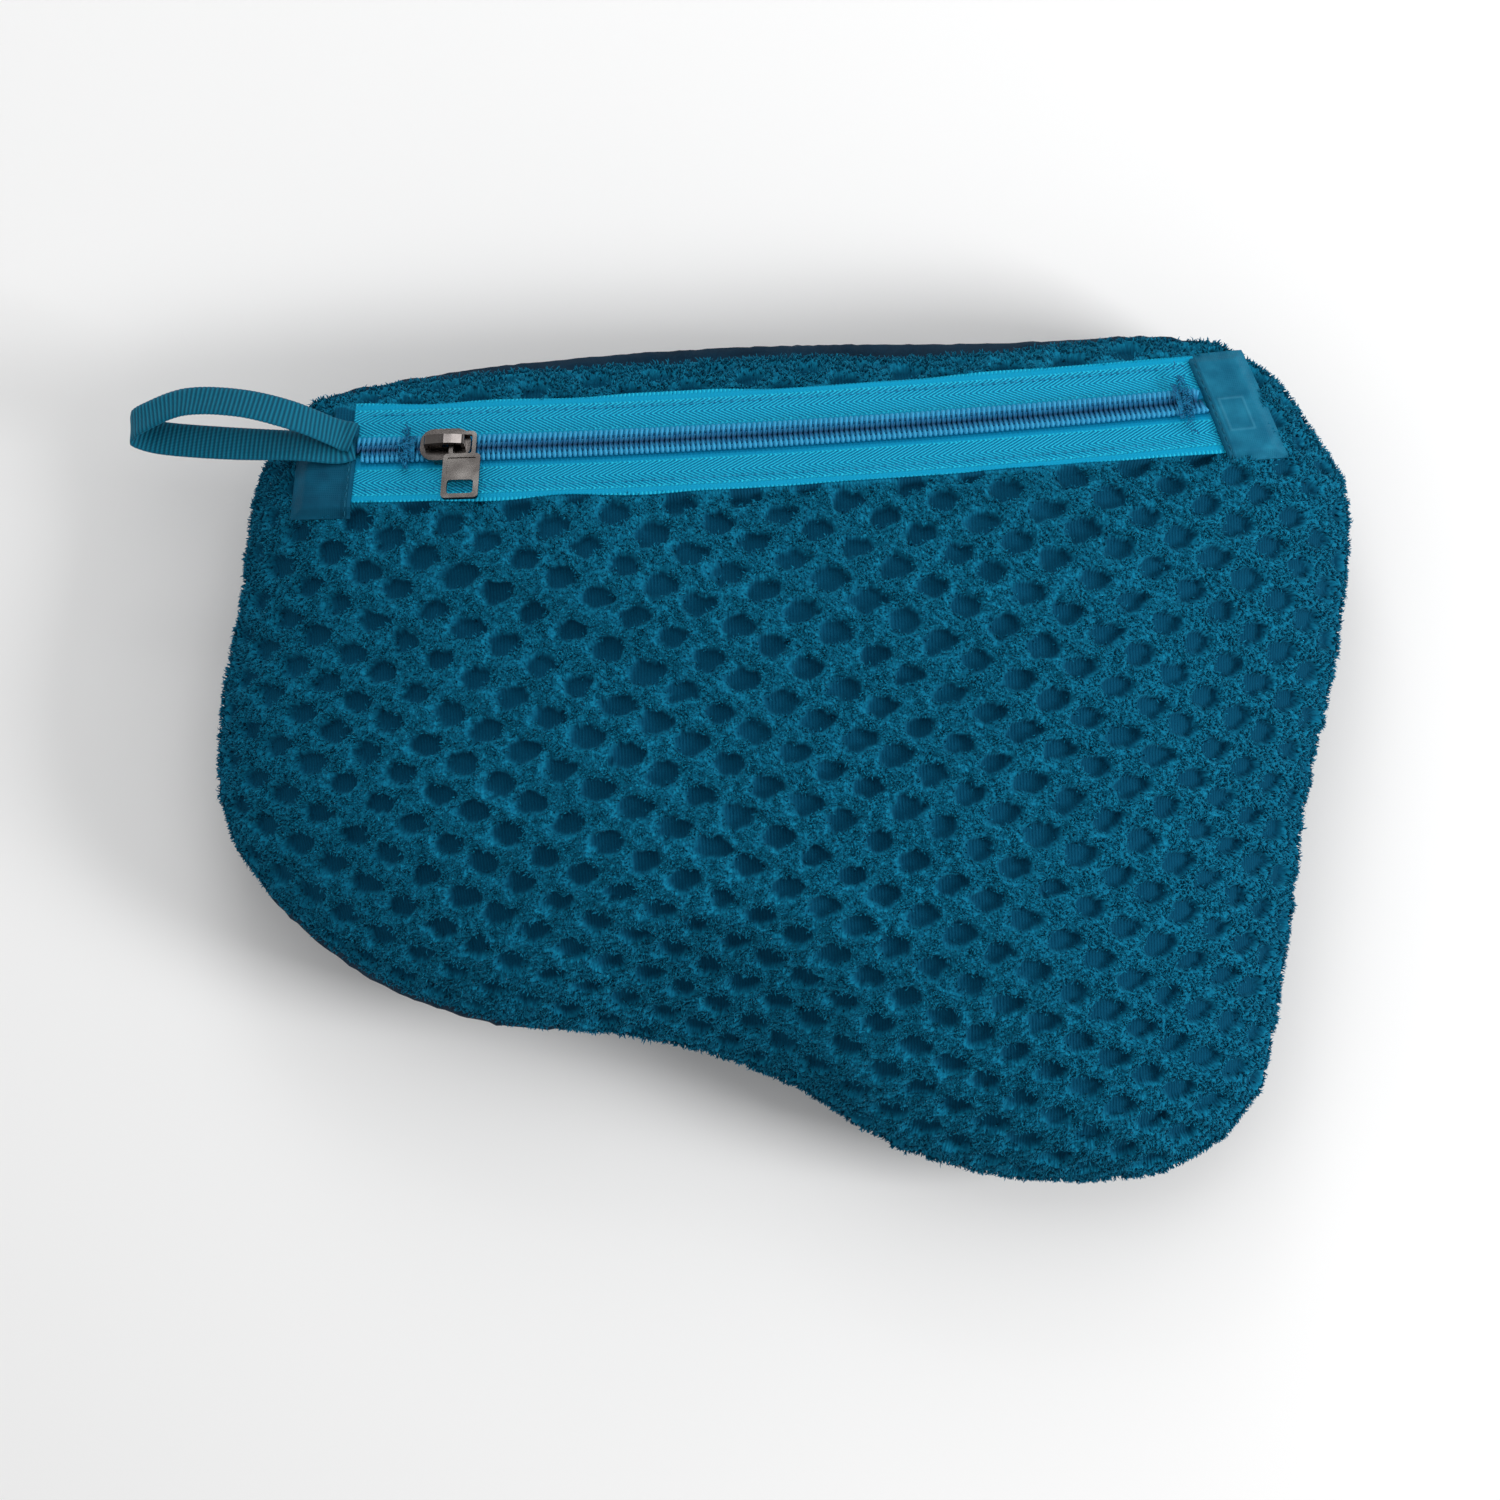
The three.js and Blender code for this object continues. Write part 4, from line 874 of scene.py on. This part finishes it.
def make_tufts(points, normal, chance):
    """Short curled tufts of pile on the walls between the pits."""
    rng = np.random.default_rng(SEED)
    picked = rng.choice(chance.size, TUFTS, p=chance.ravel() / chance.sum())
    root = points.reshape(-1, 3)[picked] + rng.uniform(-0.3, 0.3, (TUFTS, 3))
    up = normal.reshape(-1, 3)[picked]
    lean = rng.normal(0, 1, (TUFTS, 3))
    lean = unit(lean - up * (lean * up).sum(1, keepdims=True))
    third = np.cross(up, lean)
    length = TUFT_LENGTH * rng.uniform(0.55, 1.15, TUFTS)[:, None]
    width = TUFT_WIDTH * rng.uniform(0.6, 1.2, TUFTS)[:, None]
    middle = root + up * length * 0.5 + lean * length * 0.28
    tip = root + up * length * 0.72 + lean * length * 0.85 * rng.uniform(0.4, 1.0, (TUFTS, 1))
    rings = [spot + width * share * 0.5 * (math.cos(angle) * lean + math.sin(angle) * third)
             for spot, share in ((root - up * 0.3, 1.0), (middle, 0.75))
             for angle in np.arange(3) * math.tau / 3]
    start = (np.arange(TUFTS) * TUFT_CORNERS)[:, None]
    quads = np.vstack([start + [k, (k + 1) % 3, 3 + (k + 1) % 3, 3 + k] for k in range(3)])
    tips = np.vstack([start + [3 + k, 3 + (k + 1) % 3, 6] for k in range(3)])
    tone = np.repeat(rng.beta(1.6, 2.2, TUFTS), TUFT_CORNERS)
    along = np.tile([0, 0, 0, 0.55, 0.55, 0.55, 1.0], TUFTS)
    place = np.stack([along, tone, np.zeros_like(tone)], -1)
    corners = np.stack([*rings, tip], axis=1)
    tufts = mesh_object("pouch_pile", corners, [quads, tips, start + [2, 1, 0]], place)
    # one small patch of the OFBake UV map for each way up and tone
    spread = tufts.data.uv_layers.new(name="OFBake")
    cell = place[:, :2] * 0.9 + 0.05
    index = np.zeros(len(tufts.data.loops), np.int32)
    tufts.data.loops.foreach_get("vertex_index", index)
    spread.data.foreach_set("uv", cell[index].ravel().astype(np.float32))
    finish(tufts, TUFT)


def make_back():
    """The woven back, with gathers next to the seam and soft wrinkles where it lies."""
    columns, rows = BACK_GRID
    turn = np.arange(columns) * math.tau / columns
    seam = seam_at(turn)
    way = seam + np.linspace(0, 1, rows)[:, None] * (way_end - seam)
    turn = np.broadcast_to(turn, way.shape)
    base = on_pouch(turn, way)
    normal = unit(np.cross(np.gradient(base, axis=0), np.roll(base, -1, 1) - np.roll(base, 1, 1)) + 1e-9)
    past = way - seam
    gather = np.exp(-past / 9) * (1 - np.exp(-past / 1.2)) * smoothstep(0.5, 4, past)
    pucker = 2 * PUCKER_DEPTH * gather * noise(turn * 60, way / 14, 11)
    wrinkle = WRINKLE * noise(base[..., 0] / 26, base[..., 1] / 14, 12)
    free = smoothstep(0.5, 12, base[..., 2]) * smoothstep(0, 9, past)
    points = base + normal * (pucker + wrinkle * free - 0.25)[..., None]
    points[..., 2] = np.maximum(points[..., 2], 0.0)
    count = rows * columns
    faces = [grid_faces(rows, columns, wrap=True), cap_faces(columns, count, count - columns, True)]
    girth = np.linalg.norm(base[0] - centre, axis=1).mean()
    place = np.stack([turn * girth, way, smoothstep(1, 8, base[..., 2])], -1).reshape(-1, 3)
    back = mesh_object("pouch_back", np.vstack([points.reshape(-1, 3), [*crown, 0]]), faces,
                       np.vstack([place, [0, 0, 0]]))
    finish(back, WOVEN, ["back_panel"])


# ---- the zip


def make_tape(name, side):
    """One tape: side is 1 for the upper one. A thin ribbon with a wavy, beaded outer edge."""
    low, high = band_box(name)
    along = np.arange(low[0], high[0], TAPE_STEP)
    s, t = np.meshgrid(along, np.linspace(tape_inner, tape_outer, TAPE_COLUMNS), indexing="ij")
    # the ends follow the CAD tape's slanted ends
    cs, ct, _ = band_coordinates(vertices(name))
    distance = np.abs(ct)
    inner, outer = cs[distance < distance.min() + 0.5], cs[distance > distance.max() - 0.5]
    part = (t - tape_inner) / (tape_outer - tape_inner)
    first = inner.min() + (outer.min() - inner.min()) * part
    last = inner.max() + (outer.max() - inner.max()) * part
    s = first + (last - first) * (s - low[0]) / (along[-1] - low[0])
    bead = smoothstep(0.94, 1.0, part) * (0.5 + 0.5 * np.sin(math.tau * s / EDGE_BEAD))
    free = part ** 2
    sway = noise(s / 21, np.full_like(s, side * 5.0), 13)
    rise = noise(s / 13, np.full_like(s, side * 9.0), 14)
    t = t + TAPE_WAVE * free * sway + 0.16 * bead
    h = tape_top - 0.15 + free * TAPE_LIFT * (0.5 + 0.5 * rise) + 0.1 * bead
    under = h - (tape_top - tape_base) * 0.7
    sections = np.concatenate([band_point(s, side * t, h), band_point(s, side * t, under)[:, ::-1]], axis=1)
    flat = np.stack([s, t, h], -1)
    place = np.concatenate([flat, flat[:, ::-1]], axis=1)
    if side < 0:
        sections, place = sections[:, ::-1], place[:, ::-1]
    tape = swept(name.replace("zip_tape", "tape_ribbon"), sections, place)
    finish(tape, TAPE, [name])


def make_coil(name, side):
    """The wound filament of one side of the chain, and the cord it is wound on, coloured dark as painted shade
    inside the chain.
    """
    low, high = band_box(name)
    count = int((high[0] - low[0]) / COIL_PITCH * COIL_TURN_POINTS)
    angle = np.arange(count) / COIL_TURN_POINTS * math.tau
    s = low[0] + angle / math.tau * COIL_PITCH + (COIL_PITCH / 2 if side < 0 else 0)
    s = s + COIL_LEAN * np.cos(angle)
    near, far = -COIL_PAST_MIDDLE, max(abs(low[1]), abs(high[1])) - COIL_WIRE
    floor, roof = low[2] + COIL_WIRE, high[2] - COIL_WIRE
    t = (near + far) / 2 + (far - near) / 2 * np.cos(angle)
    valley = COIL_VALLEY * (far - t) / (far - near)
    h = floor + (roof - valley - floor) * (0.5 + 0.5 * np.sin(angle))
    sections = tube_sections(band_point(s, side * t, h), COIL_WIRE * (1 + 0.25 * np.cos(angle)), 7)
    place = np.broadcast_to(np.stack([s, t, h], -1)[:, None], sections.shape)
    coil = swept(name.replace("zip_coil", "coil"), sections, place)
    # the cord also fills the see-through in the chain's middle; its dark colour is painted shade
    core_s = np.arange(low[0] + 1, high[0] - 1, 1.0)
    core_path = band_point(core_s, side * (near + far) * 0.62, (floor + roof) / 2)
    core = swept(name.replace("zip_coil", "core_cord"), tube_sections(core_path, CORE_RADIUS, 8))
    finish(core, CORE)
    finish(coil, COIL, [name])


def height_over(tree, points):
    """Heights of a node's top under or over points; beside it, that of the nearest point on it."""
    hits = [tree.ray_cast(Vector((x, y, RAY_START)), Vector((0, 0, -1)))[0] for x, y in points[:, :2] * MM]
    result = np.array([hit.z / MM if hit else np.nan for hit in hits])
    known = ~np.isnan(result)
    for k in np.flatnonzero(~known):
        near = np.argmin(((points[known, :2] - points[k, :2]) ** 2).sum(1))
        result[k] = result[known][near]
    return result


def stitch_shape(length, radius, arch, rings=6, sides=6):
    """One stitch from the side of its seat: along, sideways and up, rings x sides."""
    share = np.linspace(0, 1, rings)[:, None]
    angle = (np.arange(sides) * math.tau / sides)[None, :]
    thick = radius * (0.45 + 0.55 * np.sin(math.pi * share))
    up = arch * np.sin(math.pi * share) + thick * np.sin(angle)
    return np.stack([(share - 0.5) * length + 0 * angle, thick * np.cos(angle), up], -1)


def thread_object(name, bundles):
    """One object from bundles, each an array of strands x rings x sides x 3."""
    points, faces, start = [], [], 0
    for strands in bundles:
        count, rings, sides = strands.shape[:3]
        offset = (start + np.arange(count) * rings * sides)[:, None, None]
        faces.extend((one[None] + offset).reshape(-1, one.shape[1]) for one in tube_faces(rings, sides))
        points.append(strands.reshape(-1, 3))
        start += count * rings * sides
    return mesh_object(name, np.vstack(points), faces)


def seated(shape, s, t, h, yaw):
    """A stitch shape at many seats in the zip's band, each turned by its yaw."""
    along, sideways, up = np.moveaxis(shape[None], -1, 0)
    s, t, h, yaw = (np.asarray(x, float).reshape(-1, 1, 1) for x in (s, t, h, yaw))
    ds = along * np.cos(yaw) - sideways * np.sin(yaw)
    dt = along * np.sin(yaw) + sideways * np.cos(yaw)
    return band_point(s + ds, t + dt, h + up)


def make_tape_stitches(name, side):
    """The row of stitches that holds a tape, as single stitches."""
    low, high = band_box(name)
    s = np.arange(low[0], high[0], STITCH_LENGTH + STITCH_GAP)
    rng = np.random.default_rng(SEED + 20 + side)
    shape = stitch_shape(STITCH_LENGTH, THREAD_RADIUS, 0.16)
    t = (low[1] + high[1]) / 2 + rng.normal(0, 0.05, len(s))
    rows = seated(shape, s, t, tape_top + 0.02, rng.normal(0, 0.04, len(s)))
    row = thread_object(name.replace("tape_stitch", "stitches"), [rows])
    finish(row, BRIGHT_THREAD, [name])


def make_bar_tack(name):
    """Close threads across the chain, with loose ends that have fluffed up."""
    low, high = band_box(name)
    middle = (low + high) / 2
    rng = np.random.default_rng(SEED + 30 + int(middle[0] > 0))
    wide, seat = high[1] - low[1], low[2] - 0.3
    # nothing reaches past the CAD tack on the slider's side
    half = (high[0] - low[0]) / 2 - 0.7
    away = 1 if middle[0] > 0 else -1
    s = middle[0] + np.linspace(-half, half, TACK_THREADS)
    shape = stitch_shape(wide * 0.96, 0.26, 0.75, rings=10)
    yaw = math.pi / 2 + rng.normal(0, 0.05, TACK_THREADS)
    closed = seated(shape, s, middle[1] + rng.normal(0, 0.2, TACK_THREADS), seat, yaw)
    curl = stitch_shape(3.0, 0.16, 1.3, rings=8)
    ds, dt = (rng.normal(0, 0.5, (TACK_LOOSE_ENDS, 2)) * [2.4, wide * 0.8]).T
    ends = seated(curl, middle[0] + away * (1.3 + np.abs(ds)), middle[1] + dt, seat - 0.5 * np.abs(dt) / wide,
                  rng.uniform(0, math.tau, TACK_LOOSE_ENDS))
    tack = thread_object(name.replace("bar_tack", "tack"), [closed, ends])
    finish(tack, TACK_THREAD, [name])


def make_tab(name, node, material, hem_side, box_stitched, upper_share):
    """A folded cloth tab: a soft slab with a doubled hem and rounded edges. Returns its hem's stitches.

    upper_share is the share of the cloth above the chain that is built; the rest is left out.
    """
    rows, columns = TAB_GRID
    cs, ct, _ = band_coordinates(vertices(node))
    half = np.abs(ct).max()
    upper, lower = cs[ct > half * 0.8], cs[ct < -half * 0.8]
    t = np.linspace(-half, half, rows)[:, None]
    share = (t + half) / (2 * half)
    first = lower.min() * (1 - share) + upper.min() * share
    last = lower.max() * (1 - share) + upper.max() * share
    width = last - first
    s = first + width * np.linspace(0, 1, columns)[None, :]
    t = np.broadcast_to(t, s.shape)
    from_side = half - np.abs(t)
    t = np.where(t > 0, t * upper_share, t)
    top = band_point(s, t, 0.0)
    roof = height_over(tree_of([node]), top.reshape(-1, 3)).reshape(s.shape)
    for _ in range(25):
        roof[1:-1, 1:-1] = (roof[:-2, 1:-1] + roof[2:, 1:-1] + roof[1:-1, :-2] + roof[1:-1, 2:]) / 4
    from_hem = s - first if hem_side < 0 else last - s
    hem = 0.42 * (1 - smoothstep(HEM_WIDTH - 0.5, HEM_WIDTH + 0.2, from_hem))
    groove = -0.28 * np.exp(-((from_hem - HEM_SEAM) / 0.28) ** 2)
    soft = 0.22 * noise(s / 4.2, t / 5.5, 40 + len(name)) * smoothstep(0, 3, from_hem)
    relief = hem + groove + soft
    mark = np.where(from_hem < HEM_WIDTH, -1.0, 0.0)
    if box_stitched:
        # the cloth is drawn in along the stitched rectangle under it
        ds = np.abs(s - (first + width * BOX_ALONG)) - BOX_HALF[0]
        outside = np.maximum(ds, np.abs(t - BOX_ACROSS) - BOX_HALF[1])
        ridge = np.exp(-(outside / 0.45) ** 2)
        relief = relief + 0.3 * ridge + 0.12 * (outside < 0)
        mark = mark + ridge
    # the hem stands proud; the other edges sink into the pile
    free_edge = np.minimum(width - from_hem, from_side)
    sunk = 0.8 * (1 - smoothstep(0, 0.9, from_hem)) + TAB_SINK * (1 - smoothstep(0, 4.2, free_edge))
    top[..., 2] = roof + relief - sunk - 0.1
    sheet = grid_faces(rows, columns)
    i = np.arange(rows * columns).reshape(rows, columns)
    rim = np.concatenate([i[0, :-1], i[:-1, -1], i[-1, :0:-1], i[:0:-1, 0]])
    after = np.roll(rim, -1)
    sides = np.stack([after, after + i.size, rim + i.size, rim], -1)
    tab = mesh_object(name, [top, top - [0, 0, TAB_THICKNESS]], [sheet[:, ::-1], sheet + i.size, sides],
                      [np.stack([s, t, mark], -1)] * 2)
    finish(tab, material, [node])
    column = np.argmin(np.abs(from_hem[0] - HEM_SEAM))
    seats = np.arange(-half + 2, half * upper_share - 2, STITCH_LENGTH + STITCH_GAP)
    picked = np.interp(seats, t[:, 0], np.arange(rows)).astype(int)
    return hem_stitches(top[:, column], picked, np.random.default_rng(SEED + 50 + len(name)))


def hem_stitches(line, picked, rng):
    """Stitches along a line of points, one at each picked point, lying in the hem's groove."""
    along = unit(line[np.minimum(picked + 6, len(line) - 1)] - line[np.maximum(picked - 6, 0)])
    sideways = unit(np.cross([0, 0.46, 0.88], along))
    axes = np.stack([along, sideways, np.cross(along, sideways)], 1)
    shape = stitch_shape(STITCH_LENGTH, THREAD_RADIUS, 0.2) + [0, 0, 0.16]
    return line[picked][:, None, None] + shape @ axes[:, None] + rng.normal(0, 0.04, (len(picked), 1, 1, 3))


def spline(points, count):
    """A smooth curve through points, as count places at even steps and the way to each."""
    ends = np.vstack([2 * points[0] - points[1], points, 2 * points[-1] - points[-2]])
    x = np.linspace(0, 1, 24, endpoint=False)[:, None]
    fine = []
    for a, b, c, d in zip(ends, ends[1:], ends[2:], ends[3:]):
        bend, twist = 2 * a - 5 * b + 4 * c - d, 3 * b - a - 3 * c + d
        fine.append(0.5 * (2 * b + (c - a) * x + bend * x ** 2 + twist * x ** 3))
    fine = np.vstack([*fine, points[-1]])
    way = np.concatenate([[0], np.cumsum(np.linalg.norm(np.diff(fine, axis=0), axis=1))])
    even = np.linspace(0, way[-1], count)
    return np.stack([np.interp(even, way, axis) for axis in fine.T], -1), even


def make_loop():
    """The webbing loop, one ribbed strap from its caught end round the tip and back."""
    pivot = np.array(JOINTS["loop_lift"]["pos_m"]) / MM
    fine, way = spline(np.array(LOOP_ROUTE), 700)
    path, roll = pivot + fine[:, :3], fine[:, 3]
    tangent = unit(np.gradient(path, axis=0))
    wide = np.stack([np.zeros_like(roll), np.cos(roll), -np.sin(roll)], -1)
    wide = unit(wide - tangent * (wide * tangent).sum(1, keepdims=True))
    thick = np.cross(tangent, wide)
    w = np.linspace(-1, 1, WEBBING_POINTS)
    w = np.concatenate([w, w[::-1]])
    side = np.repeat([1.0, -1.0], WEBBING_POINTS)
    rib = 0.065 * np.sin(math.tau * way / WEBBING_RIB)[:, None]
    height = side * (WEBBING_HALF_THICKNESS * np.clip(1 - np.abs(w) ** 8, 0.25, 1) + rib)
    across_strap = (w * WEBBING_HALF_WIDTH)[None, :, None] * wide[:, None]
    sections = path[:, None] + across_strap + (height + 0.25 * w ** 2)[..., None] * thick[:, None]
    place = np.stack(np.broadcast_arrays(way[:, None], w[None, :] * WEBBING_HALF_WIDTH, side[None, :]), -1)
    strap = swept("loop_strap", sections, place)
    strap.data.materials.append(WEBBING)
    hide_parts("grab_loop", "loop_root")
    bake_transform(strap)


def make_filling():
    """The folded blanket inside: its plies show as rounded folds round its edge."""
    distance, rays = shrink_wrapped(tree_of(["packed_blanket"]), *FILLING_GRID)
    distance = smoothed(distance, 3)
    height = centre[2] + rays[..., 2] * distance
    ply = (height - height.min()) / (height.max() - height.min()) * FILLING_PLIES
    fold = (1 - np.abs(np.sin(math.pi * ply))) ** 3 * (1 - np.abs(rays[..., 2]))
    soft = noise(rays[..., 0] * 6, rays[..., 1] * 6, 60)
    distance = distance - FILLING_FOLD * fold - 0.6 - 0.5 * soft
    filling = mesh_object("folded_blanket", *round_shell(centre + rays * distance[..., None]))
    finish(filling, FILLING, ["packed_blanket"])


def repaint(node, material, bevel=0.0):
    """A CAD node keeps its shape and gets a finished material, with its edges softened."""
    obj = frame["nodes"][node]
    obj.data.materials.clear()
    obj.data.materials.append(material)
    if bevel:
        soft = obj.modifiers.new("soft_edges", "BEVEL")
        soft.width = bevel * MM
        soft.segments = 3
        soft.limit_method = "ANGLE"
        soft.angle_limit = math.radians(35)
        obj.data.shade_smooth()
        normals = obj.modifiers.new("even_normals", "WEIGHTED_NORMAL")
        normals.keep_sharp = True


make_camera()
make_stage()
make_tufts(*make_face())
make_back()
for make, kind in ((make_tape, "zip_tape_"), (make_coil, "zip_coil_"), (make_tape_stitches, "tape_stitch_")):
    for part, side in (("upper", 1), ("lower", -1)):
        make(kind + part, side)
for end in ("loop_end", "far_end"):
    make_bar_tack("bar_tack_" + end)
for node, material, bevel in (("slider_body", METAL, 0.3), ("slider_crown", METAL, 0.3),
                              ("pull_tab", PULL_METAL, 0.2), ("slider_lock_spring", SPRING, 0.1),
                              ("seam_thread", THREAD, 0.0), ("seam_binding", WOVEN, 0.0)):
    repaint(node, material, bevel)
hems = [make_tab("far_tab", "end_tab_far", TAB_FAR, -1, True, 0.84),
        make_tab("loop_tab", "end_tab_loop", TAB_LOOP, 1, False, 0.5)]
finish(thread_object("tab_stitches", hems), THREAD, ["end_tab_stitch_far"])
make_loop()
make_filling()
